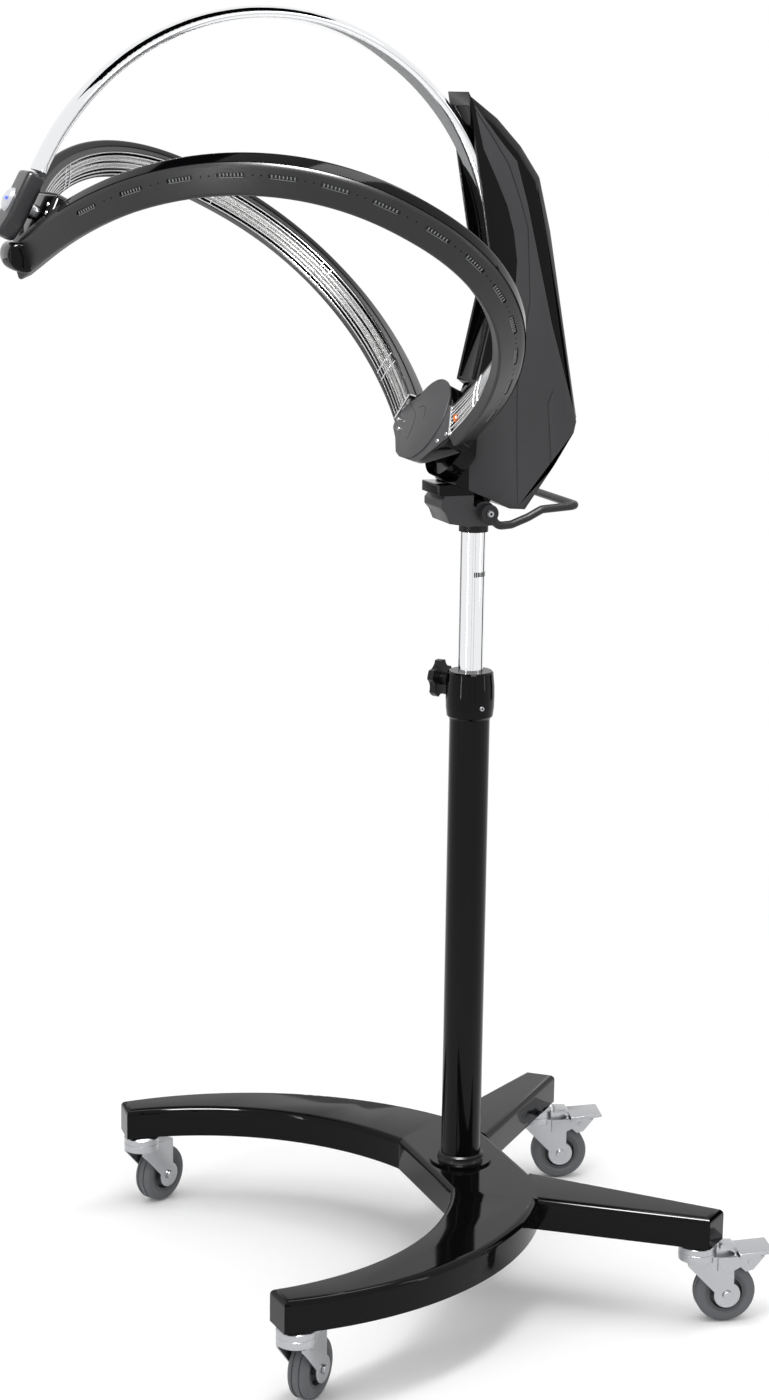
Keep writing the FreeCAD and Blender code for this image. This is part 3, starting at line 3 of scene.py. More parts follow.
import bmesh
import bpy
from mathutils import Matrix, Vector


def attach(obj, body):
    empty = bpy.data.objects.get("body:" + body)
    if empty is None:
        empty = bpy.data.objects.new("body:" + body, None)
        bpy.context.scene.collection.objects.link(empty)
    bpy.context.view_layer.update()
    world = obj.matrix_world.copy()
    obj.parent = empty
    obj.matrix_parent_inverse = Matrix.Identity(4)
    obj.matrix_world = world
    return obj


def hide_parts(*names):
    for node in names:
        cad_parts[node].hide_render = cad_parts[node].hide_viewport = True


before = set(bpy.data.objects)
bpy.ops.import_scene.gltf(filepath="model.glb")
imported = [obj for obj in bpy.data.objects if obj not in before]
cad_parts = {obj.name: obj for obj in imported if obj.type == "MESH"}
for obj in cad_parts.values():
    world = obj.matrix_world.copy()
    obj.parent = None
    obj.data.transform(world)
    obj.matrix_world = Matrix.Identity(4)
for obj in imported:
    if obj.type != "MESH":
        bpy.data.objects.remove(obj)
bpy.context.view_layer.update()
bpy.context.scene.view_settings.view_transform = "Standard"

# ---------------------------------------------------------------------------------------
# The room: a pale floor under an even white surround, two tall soft boxes that draw the
# lines down the column and the tubes, one long soft box overhead, and one for the edges.

MM = 0.001


def linear(code):
    """Linear colour of an sRGB hex value."""
    parts = [int(code[k:k + 2], 16) / 255 for k in (0, 2, 4)]
    return tuple(c / 12.92 if c <= 0.04045 else ((c + 0.055) / 1.055) ** 2.4 for c in parts) + (1.0,)


def add_node(tree, kind, links=None, **settings):
    """A shader node with its settings, socket values and links."""
    node = tree.nodes.new(kind)
    for key, value in settings.items():
        setattr(node, key, value)
    for name, value in (links or {}).items():
        socket = node.inputs[name]
        if isinstance(value, bpy.types.NodeSocket):
            tree.links.new(value, socket)
        else:
            socket.default_value = value
    return node


def link_object(name, data):
    """An object of its own in the scene."""
    thing = bpy.data.objects.new(name, data)
    bpy.context.scene.collection.objects.link(thing)
    return thing


def seen_background(tree):
    """1 for what the camera, a gloss or a glass sees, and 0 for the light on the object."""
    rays = add_node(tree, "ShaderNodeLightPath")
    seen = rays.outputs["Is Camera Ray"]
    for kind in ("Is Glossy Ray", "Is Transmission Ray"):
        either = add_node(tree, "ShaderNodeMath", {0: seen, 1: rays.outputs[kind]}, operation="MAXIMUM")
        seen = either.outputs[0]
    return seen


WHITE_LIGHT, WHITE_SEEN = 0.8, 1.0
world = bpy.data.worlds.new("White surround")
bpy.context.scene.world = world
world.use_nodes = True
surround = world.node_tree
level = add_node(surround, "ShaderNodeMapRange", {"Value": seen_background(surround),
                                                  "To Min": WHITE_LIGHT, "To Max": WHITE_SEEN})
surround.nodes["Background"].inputs["Color"].default_value = (1, 1, 1, 1)
surround.links.new(level.outputs[0], surround.nodes["Background"].inputs["Strength"])

# the floor lies a hair under the wheels, and turns into the white of the surround from
# FADE_FROM to FADE_TO metres off its middle
FLOOR_SIZE, FLOOR_LEVEL, FADE_FROM, FADE_TO = 14, -0.0006, 0.75, 2.2
floor_mesh = bpy.data.meshes.new("Floor")
sheet = bmesh.new()
bmesh.ops.create_grid(sheet, x_segments=1, y_segments=1, size=FLOOR_SIZE)
bmesh.ops.translate(sheet, verts=sheet.verts, vec=(0, 0, FLOOR_LEVEL))
sheet.to_mesh(floor_mesh)
sheet.free()
floor = link_object("Floor", floor_mesh)
floor_paint = bpy.data.materials.new("Pale floor")
floor_paint.use_nodes = True
paint = floor_paint.node_tree
matt = paint.nodes["Principled BSDF"]
matt.inputs["Base Color"].default_value = linear("FFFFFF")
matt.inputs["Roughness"].default_value = 0.9
matt.inputs["Specular IOR Level"].default_value = 0.0
where = add_node(paint, "ShaderNodeTexCoord")
away = add_node(paint, "ShaderNodeVectorMath", {0: where.outputs["Object"]}, operation="LENGTH")
fade = add_node(paint, "ShaderNodeMapRange", {"Value": away.outputs["Value"], "From Min": FADE_FROM,
                                              "From Max": FADE_TO}, interpolation_type="SMOOTHSTEP")
share = add_node(paint, "ShaderNodeMath", {0: fade.outputs[0], 1: seen_background(paint)},
                 operation="MULTIPLY")
white = add_node(paint, "ShaderNodeEmission", {"Color": (1, 1, 1, 1), "Strength": WHITE_SEEN})
blend = add_node(paint, "ShaderNodeMixShader",
                 {0: share.outputs[0], 1: matt.outputs[0], 2: white.outputs[0]})
paint.links.new(blend.outputs[0], paint.nodes["Material Output"].inputs["Surface"])
floor_mesh.materials.append(floor_paint)

# each soft box: its place and target in metres, its width and height, and its watts
SOFT_BOXES = {
    "Overhead strip": ((0.5, 0.3, 3.2), (0, 0, 1.0), 3.0, 0.6, 36),
    "Front strip": ((1.5, -3.3, 1.3), (0, 0, 0.9), 0.12, 2.6, 24),
    "Back strip": ((2.4, 3.0, 1.5), (0, 0, 1.0), 0.3, 2.6, 12),
    "Edge box": ((1.7, -0.9, 3.6), (0, 0, 0.7), 1.5, 1.0, 560),
}


def stood(thing, place, target):
    """Turns a lamp or a card at a place towards its target."""
    thing.location = place
    thing.rotation_euler = (Vector(target) - Vector(place)).to_track_quat("-Z", "Y").to_euler()


for name, (place, target, wide, high, watts) in SOFT_BOXES.items():
    lamp = bpy.data.lights.new(name, "AREA")
    lamp.shape, lamp.size, lamp.size_y, lamp.energy = "RECTANGLE", wide, high, watts
    box = link_object(name, lamp)
    stood(box, place, target)
    if name == "Edge box":
        # only reflections see this one: it draws the light lines along rounded edges
        box.visible_diffuse = box.visible_camera = False

# black flags that only reflections see: they draw the dark lines on chrome and gloss black
flag_paint = bpy.data.materials.new("Black flag")
flag_paint.use_nodes = True
flag_paint.node_tree.nodes["Principled BSDF"].inputs["Base Color"].default_value = linear("040404")
flag_paint.node_tree.nodes["Principled BSDF"].inputs["Specular IOR Level"].default_value = 0.0
grey_paint = flag_paint.copy()
grey_paint.node_tree.nodes["Principled BSDF"].inputs["Base Color"].default_value = linear("949494")
# each flag: its place and target in metres, its width and height
FLAGS = {
    "Flag overhead": ((-1.1, -0.2, 3.3), (0, -0.2, 1.4), 2.8, 1.0),
    "Flag low on the left": ((-2.7, -0.2, 0.5), (0, -0.2, 0.9), 3.0, 0.7),
    "Flag by the camera": ((2.75, -1.05, 1.0), (0, 0.139, 0.9), 0.07, 1.8),
    "Flag right of the camera": ((2.85, 0.1, 1.0), (0, 0.139, 0.9), 0.09, 1.8),
    "Flag behind": ((-0.4, 3.2, 1.0), (0, 0.139, 0.9), 0.9, 1.9),
}
for name, (place, target, wide, high) in FLAGS.items():
    card = bmesh.new()
    bmesh.ops.create_grid(card, x_segments=1, y_segments=1, size=0.5,
                          matrix=Matrix.Diagonal((wide, high, 1, 1)))
    card_mesh = bpy.data.meshes.new(name)
    card.to_mesh(card_mesh)
    card.free()
    card_mesh.materials.append(grey_paint if name == "Flag low on the left" else flag_paint)
    flag = link_object(name, card_mesh)
    stood(flag, place, target)
    flag.visible_camera = flag.visible_diffuse = flag.visible_shadow = flag.visible_transmission = False

# ---------------------------------------------------------------------------------------
# The camera: to the right of the stand and a little over the heater ring, turned and rolled
# a little off the mast. Its long lens keeps the column's sides almost parallel.

CAMERA_DISTANCE, CAMERA_AZIMUTH, CAMERA_HEIGHT = 3.4363, 67.454, 1.4791
CAMERA_YAW, CAMERA_PITCH, CAMERA_ROLL = 1.755, 12.143, 0.835
FILM_WIDTH, FOCAL_LENGTH, NEAREST = 36, 73.364, 0.05
MAST_BACK = 0.139
lens = bpy.data.cameras.new("Camera")
lens.sensor_width, lens.lens, lens.clip_start = FILM_WIDTH, FOCAL_LENGTH, NEAREST
camera = link_object("Camera", lens)
azimuth = math.radians(CAMERA_AZIMUTH)
heading = azimuth + math.radians(CAMERA_YAW)
pitch, roll = math.radians(CAMERA_PITCH), math.radians(CAMERA_ROLL)
ahead = Vector((-math.sin(heading) * math.cos(pitch), math.cos(heading) * math.cos(pitch),
                -math.sin(pitch)))
level_right = ahead.cross(Vector((0, 0, 1))).normalized()
level_up = level_right.cross(ahead)
right = level_right * math.cos(roll) + level_up * math.sin(roll)
up = level_up * math.cos(roll) - level_right * math.sin(roll)
stance = Matrix((right, up, -ahead)).transposed().to_4x4()
stance.translation = (math.sin(azimuth) * CAMERA_DISTANCE,
                      MAST_BACK - math.cos(azimuth) * CAMERA_DISTANCE, CAMERA_HEIGHT)
camera.matrix_world = stance
bpy.context.scene.camera = camera

# ---------------------------------------------------------------------------------------
# Base: a hub with two curved front legs and two straight rear legs, moulded in high gloss
# black ABS over a steel frame. The polished tool leaves the skin mirror smooth with the
# slightest ripple.

WEAR_SCALE = 18.0


def finish_material(name, color, roughness, grain_mm, grain_depth, spread=0.04, **sockets):
    """Finish with a relief of a grain in millimetres, its roughness spread in patches of wear."""
    material = bpy.data.materials.new(name)
    material.use_nodes = True
    tree = material.node_tree
    shader = tree.nodes["Principled BSDF"]
    shader.inputs["Base Color"].default_value = linear(color)
    for key, value in sockets.items():
        shader.inputs[key.replace("_", " ")].default_value = value
    where = add_node(tree, "ShaderNodeTexCoord")
    grain = add_node(tree, "ShaderNodeTexNoise", {"Vector": where.outputs["Object"],
                                                  "Scale": 1000 / grain_mm, "Detail": 4.0,
                                                  "Roughness": 0.6})
    wear = add_node(tree, "ShaderNodeTexNoise", {"Vector": where.outputs["Object"], "Scale": WEAR_SCALE,
                                                 "Detail": 3.0})
    rough = add_node(tree, "ShaderNodeMapRange", {"Value": wear.outputs["Fac"], "From Min": 0.3,
                                                  "From Max": 0.7, "To Min": roughness - spread / 2,
                                                  "To Max": roughness + spread / 2})
    relief = add_node(tree, "ShaderNodeBump", {"Height": grain.outputs["Fac"], "Strength": 1.0,
                                               "Distance": grain_depth * MM})
    tree.links.new(rough.outputs[0], shader.inputs["Roughness"])
    tree.links.new(relief.outputs[0], shader.inputs["Normal"])
    return material


# polished ABS: black with clear reflections that soften over a few centimetres
gloss_black = finish_material("Polished black ABS", "060607", 0.07, 40, 0.01, 0.03,
                              Specular_IOR_Level=0.14)


def keep(node, material):
    """A node whose shape is right gets its finish."""
    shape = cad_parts[node].data
    shape.materials.clear()
    shape.materials.append(material)


def piece_from(bm, name, material, body, node=None, angle=32):
    """Smooth shaded piece in place of a node, sharp where faces meet at more than the angle."""
    for edge in bm.edges:
        edge.smooth = len(edge.link_faces) == 2 and edge.calc_face_angle(0.0) < math.radians(angle)
    for face in bm.faces:
        face.smooth = True
    mesh = bpy.data.meshes.new(name)
    bm.to_mesh(mesh)
    bm.free()
    mesh.materials.append(material)
    piece = link_object(name, mesh)
    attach(piece, body)
    if node:
        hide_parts(*([node] if isinstance(node, str) else node))
    return piece


SAME_PLACE, SAME_PLANE = 1e-6, 0.4


def merged_copy(node):
    """The node's own shape with its loose triangles joined into whole faces."""
    bm = bmesh.new()
    bm.from_mesh(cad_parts[node].data)
    bmesh.ops.remove_doubles(bm, verts=bm.verts, dist=SAME_PLACE)
    bmesh.ops.dissolve_limit(bm, angle_limit=math.radians(SAME_PLANE), verts=bm.verts, edges=bm.edges)
    return bm


def edge_rounded(bm, width, least=30, most=150, segments=3, where=None):
    """Bevels, to a width in millimetres, the edges whose faces turn by least to most degrees."""
    chosen = [edge for edge in bm.edges if len(edge.link_faces) == 2
              and math.radians(least) < edge.calc_face_angle(0.0) < math.radians(most)
              and (where is None or where(edge))]
    bmesh.ops.bevel(bm, geom=chosen, offset=width * MM, segments=segments, profile=0.5, affect="EDGES",
                    material=-1, clamp_overlap=True)
    return bm


for leg in ("base_hub", "front_leg_left", "front_leg_right", "rear_leg_left", "rear_leg_right"):
    piece_from(merged_copy(leg), leg.title(), gloss_black, "base", leg,
               angle=40)

# ---------------------------------------------------------------------------------------
# Mast: powder coated steel column in its foot ring, a moulded clamp collar with its knob, and
# a chromed inner tube with a dark mark for the height, which slides in the column.

# powder coat: a deep gloss black with a faint orange peel of some millimetres
column_coat = finish_material("Gloss powder coat", "060607", 0.1, 8, 0.008, 0.04,
                              Specular_IOR_Level=0.16)
# moulded nylon: a satin black whose fine spark grain breaks up the highlights
satin_black = finish_material("Satin black nylon", "121213", 0.3, 1.2, 0.03, 0.08,
                              Specular_IOR_Level=0.22)
# bright chrome: a mirror with the slow ripple of the tube under it
chrome = finish_material("Chrome plate", "EDEEF0", 0.045, 60, 0.004, 0.02, Metallic=1.0)
# turned steel: soft grey reflections broken by the tool's fine marks
turned_steel = finish_material("Turned steel", "B9BABC", 0.28, 0.8, 0.01, 0.08, Metallic=1.0)

for name, material, body, slot in (("column_tube", column_coat, "base", "black_column_paint"),
                                   ("column_foot_ring", satin_black, "base", "satin_black_plastic"),
                                   ("clamp_collar", gloss_black, "base", "satin_black_plastic"),
                                   ("inner_tube", chrome, "mast", "chrome"),
                                   ("swivel_sleeve", satin_black, "head_joint", "chrome"),
                                   ("clamp_knob", satin_black, "clamp_knob", "satin_black_plastic")):
    piece_from(merged_copy(name), name.title(), material, body, name)
keep("guide_bush", satin_black)


def in_metres(bm):
    """A shape made in millimetres, its faces turned outward and its size in metres."""
    bmesh.ops.recalc_face_normals(bm, faces=bm.faces)
    bmesh.ops.scale(bm, vec=(MM, MM, MM), verts=bm.verts)
    return bm


# dark height mark half way round the inner tube, thin enough to pass through the bush
MARK_INSIDE, MARK_OUTSIDE, MARK_LEVEL, MARK_HALF, MARK_FLAT = 14.8, 15.24, 900, 3.4, 3.0
MARK_FROM, MARK_SWEEP = math.radians(-16), math.radians(170)
mark = bmesh.new()
ring = [mark.verts.new((radius, 0, height))
        for radius, height in ((MARK_INSIDE, -MARK_HALF), (MARK_OUTSIDE, -MARK_FLAT),
                               (MARK_OUTSIDE, MARK_FLAT), (MARK_INSIDE, MARK_HALF))]
face = mark.faces.new(ring)
bmesh.ops.rotate(mark, verts=mark.verts, matrix=Matrix.Rotation(MARK_FROM, 3, "Z"))
bmesh.ops.spin(mark, geom=[face, *face.edges, *face.verts], axis=(0, 0, 1), angle=MARK_SWEEP, steps=36)
bmesh.ops.translate(mark, verts=mark.verts, vec=(0, MAST_BACK / MM, MARK_LEVEL))
piece_from(in_metres(mark), "Height_Mark", satin_black, "mast")

# ---------------------------------------------------------------------------------------
# Casters: four twin-fork castors of 75 mm. Races, forks, bolts and brackets are pressed from
# steel and zinc plated, which leaves a soft bright sheen; the rims are grey nylon and the
# tyres grey rubber. The two at the back have a foot pedal for the brake.

# zinc plate clouds a little from place to place; tread rubber is dull and rims are satin
zinc = finish_material("Zinc plated steel", "B2B3B6", 0.27, 2.5, 0.02, 0.12, Metallic=1.0)
grey_rubber = finish_material("Grey rubber", "5A5B5E", 0.62, 0.9, 0.03, 0.1, Specular_IOR_Level=0.3)
grey_nylon = finish_material("Grey nylon", "3E3F42", 0.45, 1.0, 0.03, 0.1)

# the pressed pedal is a shallow tray: what stands over PEDAL_FOOT is lowered to a share
PEDAL_FOOT, PEDAL_SHARE, PRESSED_EDGE = 79, 0.66, 0.5
piece_from(merged_copy("caster_heads"), "Caster_Heads", zinc, "base", "caster_heads")
for corner in ("front_left", "front_right", "rear_left", "rear_right"):
    pressed = [f"caster_fork_{corner}", f"axle_bolt_{corner}"]
    if corner.startswith("rear"):
        pressed.append(f"brake_bracket_{corner}")
    for name in pressed:
        piece_from(edge_rounded(merged_copy(name), PRESSED_EDGE, 40), name.title(), zinc,
                   f"fork_{corner}", name)
    if corner.startswith("rear"):
        name = f"brake_pedal_{corner}"
        tray = merged_copy(name)
        bmesh.ops.translate(tray, verts=tray.verts, vec=(0, 0, -PEDAL_FOOT * MM))
        bmesh.ops.scale(tray, vec=(1, 1, PEDAL_SHARE), verts=tray.verts)
        bmesh.ops.translate(tray, verts=tray.verts, vec=(0, 0, PEDAL_FOOT * MM))
        piece_from(edge_rounded(tray, PRESSED_EDGE, 40), name.title(), zinc, f"pedal_{corner}", name)
    for name, material, slot in ((f"wheel_rim_{corner}", grey_nylon, "grey_nylon"),
                                 (f"wheel_tyre_{corner}", grey_rubber, "grey_tyre")):
        piece_from(merged_copy(name), name.title(), material, f"wheel_{corner}", name)

# ---------------------------------------------------------------------------------------
# Head joint: black painted casting that swivels on the mast, its tilt shaft, and the bent
# steel handle rod with a grip bar.

# paint on a sand casting keeps a soft grain; the rod's thinner coat is smoother and darker
casting_paint = finish_material("Black painted casting", "363638", 0.38, 2.0, 0.03, 0.1,
                                Specular_IOR_Level=0.3)
rod_coat = finish_material("Satin coated rod", "242426", 0.38, 1.0, 0.02, 0.08, Specular_IOR_Level=0.25)
CAST_EDGE = 0.8
for name, slot in (("head_block", "black_casting"), ("tilt_shaft", "steel")):
    piece_from(edge_rounded(merged_copy(name), CAST_EDGE, 40), name.title(), casting_paint, "head_joint",
               name)
piece_from(merged_copy("handle_lever"), "Handle_Lever", rod_coat, "handle", "handle_lever",
           angle=45)

# ---------------------------------------------------------------------------------------
# Housing: gloss black core and rear cover, moulded and polished, with fine grained dark grey
# panels let into both sides. A round cup at its foot takes the bearing of the heater ring.

# ABS from a textured tool: an even dark grey without a clear reflection
matte_grey = finish_material("Fine grained grey ABS", "323234", 0.5, 0.9, 0.05, 0.06,
                             Specular_IOR_Level=0.25)
for name, material, slot, width in (("housing_core", gloss_black, "gloss_black_moulding", 0.8),
                                    ("side_panel_left", matte_grey, "matte_grey_panel", 0.6),
                                    ("side_panel_right", matte_grey, "matte_grey_panel", 0.6)):
    piece_from(edge_rounded(merged_copy(name), width, 30), name.title(), material, "housing", name)


def runs_aside(edge):
    """Whether an edge runs square to the housing's middle plane."""
    return abs((edge.verts[1].co - edge.verts[0].co).normalized().x) > 0.99


COVER_BENDS, COVER_EDGES = 16, 3.0
cover = edge_rounded(merged_copy("rear_cover"), COVER_BENDS, 6, segments=6, where=runs_aside)
piece_from(edge_rounded(cover, COVER_EDGES, 30), "Rear_Cover", gloss_black, "housing", "rear_cover")

# the heater ring's axis rises from its foot towards the front
RISE, RING_FOOT = math.radians(27.2), Vector((0, 72, 1091))
ALONG = Vector((0, -math.cos(RISE), math.sin(RISE)))
ABOVE = Vector((0, math.sin(RISE), math.cos(RISE)))
# place on the ring's axis: X aside, Y up from it, Z along it towards the front
RING = Matrix.Translation(RING_FOOT) @ Matrix((Vector((1, 0, 0)), ABOVE, ALONG)).transposed().to_4x4()


def only(kind, items):
    """The vertices, edges or faces among the items."""
    return [item for item in items if isinstance(item, kind)]


def cut_off(bm, parts, place, normal):
    """Takes away what lies on the normal's side of a plane and closes the cut."""
    cut = bmesh.ops.bisect_plane(bm, geom=parts, dist=1e-4, plane_co=place, plane_no=normal,
                                 clear_outer=True)
    rims = [edge for edge in only(bmesh.types.BMEdge, cut["geom_cut"]) if edge.is_boundary]
    if rims:
        bmesh.ops.holes_fill(bm, edges=rims)


def all_of(bm):
    """Every vertex, edge and face of a shape."""
    return [*bm.verts, *bm.edges, *bm.faces]


def joined(bm, part):
    """Adds a finished part to a shape."""
    mesh = bpy.data.meshes.new("Part")
    part.to_mesh(mesh)
    part.free()
    bm.from_mesh(mesh)


# the hollow cup is a full round in front of the panels and as narrow as the core between
# them; CUP_MIDDLE lies along the ring's axis, and CUP_TOP is the flat cut above that axis
CUP_RADIUS, CUP_WALL, CUP_DEPTH, CUP_HOLLOW, CUP_MIDDLE, CUP_TOP = 56, 4, 20, 10, -50.4, 46.8
CUP_HALF, PANEL_EDGE, CUP_LIP = 29.7, 117.6, 1.4
UNDER_TOP = (RING @ Vector((0, CUP_TOP, 0)), ABOVE)
cup = bmesh.new()
for cuts in ([((0, PANEL_EDGE, 0), (0, 1, 0))],
             [((0, PANEL_EDGE, 0), (0, -1, 0)), ((CUP_HALF, 0, 0), (1, 0, 0)),
              ((-CUP_HALF, 0, 0), (-1, 0, 0))]):
    part = bmesh.new()
    bmesh.ops.create_cone(part, cap_ends=True, segments=96, radius1=CUP_RADIUS, radius2=CUP_RADIUS,
                          depth=CUP_DEPTH, matrix=Matrix.Translation((0, 0, CUP_MIDDLE)))
    front = max(part.faces, key=lambda face: face.calc_center_median().z)
    bmesh.ops.inset_region(part, faces=[front], thickness=CUP_WALL)
    bmesh.ops.translate(part, verts=front.verts, vec=(0, 0, -CUP_HOLLOW))
    edge_rounded(part, CUP_LIP / MM, 60)
    bmesh.ops.transform(part, matrix=RING, verts=part.verts)
    for place, normal in [UNDER_TOP] + cuts:
        cut_off(part, all_of(part), place, normal)
    joined(cup, part)
piece_from(in_metres(cup), "Bearing_Cup", gloss_black, "housing", "bearing_cup")

# ---------------------------------------------------------------------------------------
# Arch: one rolled band of chromed steel from the ledge in the housing to a satin black end
# block, which holds the front pivot pin of the heater ring and a silver lens with a lamp.

ARCH_EDGE, BLOCK_EDGE = 2.6, 5
piece_from(edge_rounded(merged_copy("arch"), ARCH_EDGE, 25, segments=5), "Arch", chrome, "housing",
           "arch", angle=45)
# the end block is satin; the lens is a frosted silver with a small blue lamp behind it
end_satin = finish_material("Satin black end block", "2A2A2C", 0.3, 1.2, 0.03, 0.06,
                            Specular_IOR_Level=0.3)
piece_from(edge_rounded(merged_copy("arch_end_block"), BLOCK_EDGE, 40, segments=5), "Arch_End_Block",
           end_satin, "housing", "arch_end_block")
lens_silver = finish_material("Frosted silver lens", "C9CBCF", 0.22, 1.0, 0.01, 0.05)
piece_from(merged_copy("indicator_lens"), "Indicator_Lens", lens_silver, "housing", "indicator_lens")
piece_from(merged_copy("front_pivot_pin"), "Front_Pivot_Pin", turned_steel, "housing",
           "front_pivot_pin")
blue_light = finish_material("Blue lamp", "3B55E8", 0.3, 1.0, 0.005, 0.05, Emission_Strength=0.6)
blue_light.node_tree.nodes["Principled BSDF"].inputs["Emission Color"].default_value = linear("3B55E8")
LAMP_PLACE, LAMP_RADII = (6, 0, 570.6), (4.5, 2.0, 1.6)
lamp_dot = bmesh.new()
lamp_frame = RING @ Matrix.Translation(LAMP_PLACE) @ Matrix.Diagonal((*LAMP_RADII, 1))
bmesh.ops.create_uvsphere(lamp_dot, u_segments=20, v_segments=10, radius=1, matrix=lamp_frame)
piece_from(in_metres(lamp_dot), "Lens_Light", blue_light, "housing")

# ---------------------------------------------------------------------------------------
# Rear hub of the heater ring: a polished black moulding on the end of the drive shaft, which
# holds both arms. A round satin grey plate is screwed to its face.

# the plate is a shade lighter and duller than the panels; the neck takes hardly any light
hub_grey = finish_material("Satin grey ABS", "3E3E40", 0.46, 0.9, 0.03, 0.06, Specular_IOR_Level=0.3)
shade_black = finish_material("Rough black moulding", "050505", 0.8, 1.2, 0.03, 0.06,
                              Specular_IOR_Level=0.05)
keep("drive_shaft", turned_steel)


def runs_along(edge):
    """Whether an edge runs along the ring's axis."""
    return abs((edge.verts[1].co - edge.verts[0].co).normalized().dot(ALONG)) > 0.99


def prism(bm, outline, low, high, matrix, round_by, segments=3):
    """Closed outline in X and Y raised from low to high, with rounded edges."""
    part = bmesh.new()
    face = part.faces.new([part.verts.new((*corner, low)) for corner in outline])
    grown = bmesh.ops.extrude_face_region(part, geom=[face])["geom"]
    bmesh.ops.translate(part, verts=only(bmesh.types.BMVert, grown), vec=(0, 0, high - low))
    bmesh.ops.recalc_face_normals(part, faces=part.faces)
    edge_rounded(part, round_by / MM, 20, segments=segments)
    bmesh.ops.transform(part, matrix=matrix, verts=part.verts)
    joined(bm, part)


# the hub's back slants from its keel to the arms' far edges, round a black neck into the cup
HUB_BACK, HUB_SLANT, HUB_CORNERS, HUB_EDGES = -37.5, 0.5, 9, 1.2
NECK_RADIUS, NECK_LONG, NECK_MIDDLE = 40, 30, HUB_BACK + 12
hub = edge_rounded(merged_copy("rear_hub"), HUB_CORNERS, 25, segments=6, where=runs_along)
cut_off(hub, all_of(hub), RING @ Vector((0, 0, HUB_BACK)) * MM,
        -(ALONG + ABOVE * HUB_SLANT).normalized())
piece_from(edge_rounded(hub, HUB_EDGES, 60), "Rear_Hub", gloss_black, "heater_ring", "rear_hub")
neck = bmesh.new()
bmesh.ops.create_cone(neck, cap_ends=True, segments=64, radius1=NECK_RADIUS, radius2=NECK_RADIUS,
                      depth=NECK_LONG, matrix=RING @ Matrix.Translation((0, 0, NECK_MIDDLE)))
piece_from(in_metres(neck), "Hub_Neck", shade_black, "heater_ring")

# the plate has a short wing to each arm under a raised disc, a seam across it and four screws
DISC_RADIUS, DISC_SIDES, DISC_UP, PLATE_THICK = 52, 96, 1.6, 3
WING = [(24, -53), (40, -49), (61, -33), (86, -14), (89, -8), (87, -3), (53, 24)]
wings = WING + [(-x, y) for x, y in reversed(WING)]
plate = bmesh.new()
prism(plate, wings, -PLATE_THICK, -DISC_UP, RING, 0.5)
turns = [math.tau * k / DISC_SIDES for k in range(DISC_SIDES)]
disc = [(DISC_RADIUS * math.cos(turn), DISC_RADIUS * math.sin(turn)) for turn in turns]
prism(plate, disc, -PLATE_THICK, 0, RING, 0.6)
piece_from(in_metres(plate), "Rear_Hub_Plate", hub_grey, "heater_ring", "rear_hub_plate")


def strip_between(bm, start, end, wide, high, up):
    """Flat bar from one point to another, its width square to the direction up."""
    way = end - start
    across = up.cross(way).normalized()
    turn = Matrix((way.normalized(), across, way.normalized().cross(across))).transposed().to_4x4()
    bmesh.ops.create_cube(bm, size=1, matrix=Matrix.Translation((start + end) / 2) @ turn
                          @ Matrix.Diagonal((way.length + wide * 0.5, wide, high, 1)))


# the seam across the disc ends in part of a circle round its middle
SEAM = [(-72, 19), (-56, 10), (-42, 6), (-33, 3), (-27, -3), (-23, -12), (-21, -21), (-20, -30)]
RIM_X, RIM_Y, RIM_RADIUS = -19, -3, 17
RIM = [(RIM_X + RIM_RADIUS * math.cos(turn), RIM_Y + RIM_RADIUS * math.sin(turn))
       for turn in (math.radians(10 + 12 * k) for k in range(11))]
SEAM_WIDE, SEAM_HIGH = 0.9, 0.2
seam = bmesh.new()
for line in (SEAM, RIM):
    places = [RING @ Vector((*spot, 0.02)) for spot in line]
    for start, end in zip(places, places[1:]):
        strip_between(seam, start, end, SEAM_WIDE, SEAM_HIGH, ALONG)
piece_from(in_metres(seam), "Plate_Seam", gloss_black, "heater_ring")


def screw_heads(name, places, radius, body):
    """Domed socket screws whose axes are the Z axes of the places."""
    heads, sockets = bmesh.new(), bmesh.new()
    socket = radius * 0.42
    for place in places:
        bmesh.ops.create_cone(heads, cap_ends=True, segments=24, radius1=radius, radius2=radius * 0.8,
                              depth=radius * 0.5, matrix=place @ Matrix.Translation((0, 0, radius * 0.2)))
        bmesh.ops.create_cone(sockets, cap_ends=True, segments=6, radius1=socket, radius2=socket,
                              depth=0.1, matrix=place @ Matrix.Translation((0, 0, radius * 0.46)))
    piece_from(in_metres(heads), name, zinc, body)
    piece_from(in_metres(sockets), name + "_Sockets", satin_black, body)


SMALL_SCREW, TILT_SCREW, COLLAR_SCREW = 2.6, 4.4, 3.2
plate_places = [RING @ Matrix.Translation((side * x, y, -DISC_UP))
                for side in (-1, 1) for x, y in ((79, -10), (64, -21))]
screw_heads("Plate_Screws", plate_places, SMALL_SCREW, "heater_ring")

# one screw in the end of the tilt shaft and one in the clamp collar, both on the right
FACING_RIGHT = Matrix.Rotation(math.radians(90), 4, "Y")
shaft_end = max(vert.co.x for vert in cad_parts["tilt_shaft"].data.vertices) / MM
screw_heads("Tilt_Screw", [Matrix.Translation((shaft_end, 142, 979)) @ FACING_RIGHT], TILT_SCREW,
            "head_joint")
screw_heads("Collar_Screw", [Matrix.Translation((30, 142.6, 736.3)) @ FACING_RIGHT], COLLAR_SCREW,
            "base")

# ---------------------------------------------------------------------------------------
# Heater arms: each a curved moulding of heat proof plastic whose mouth faces the client,
# with a gloss band along its top, fourteen stamped air slots, a polished aluminium
# reflector, twin quartz tubes and a welded wire guard.

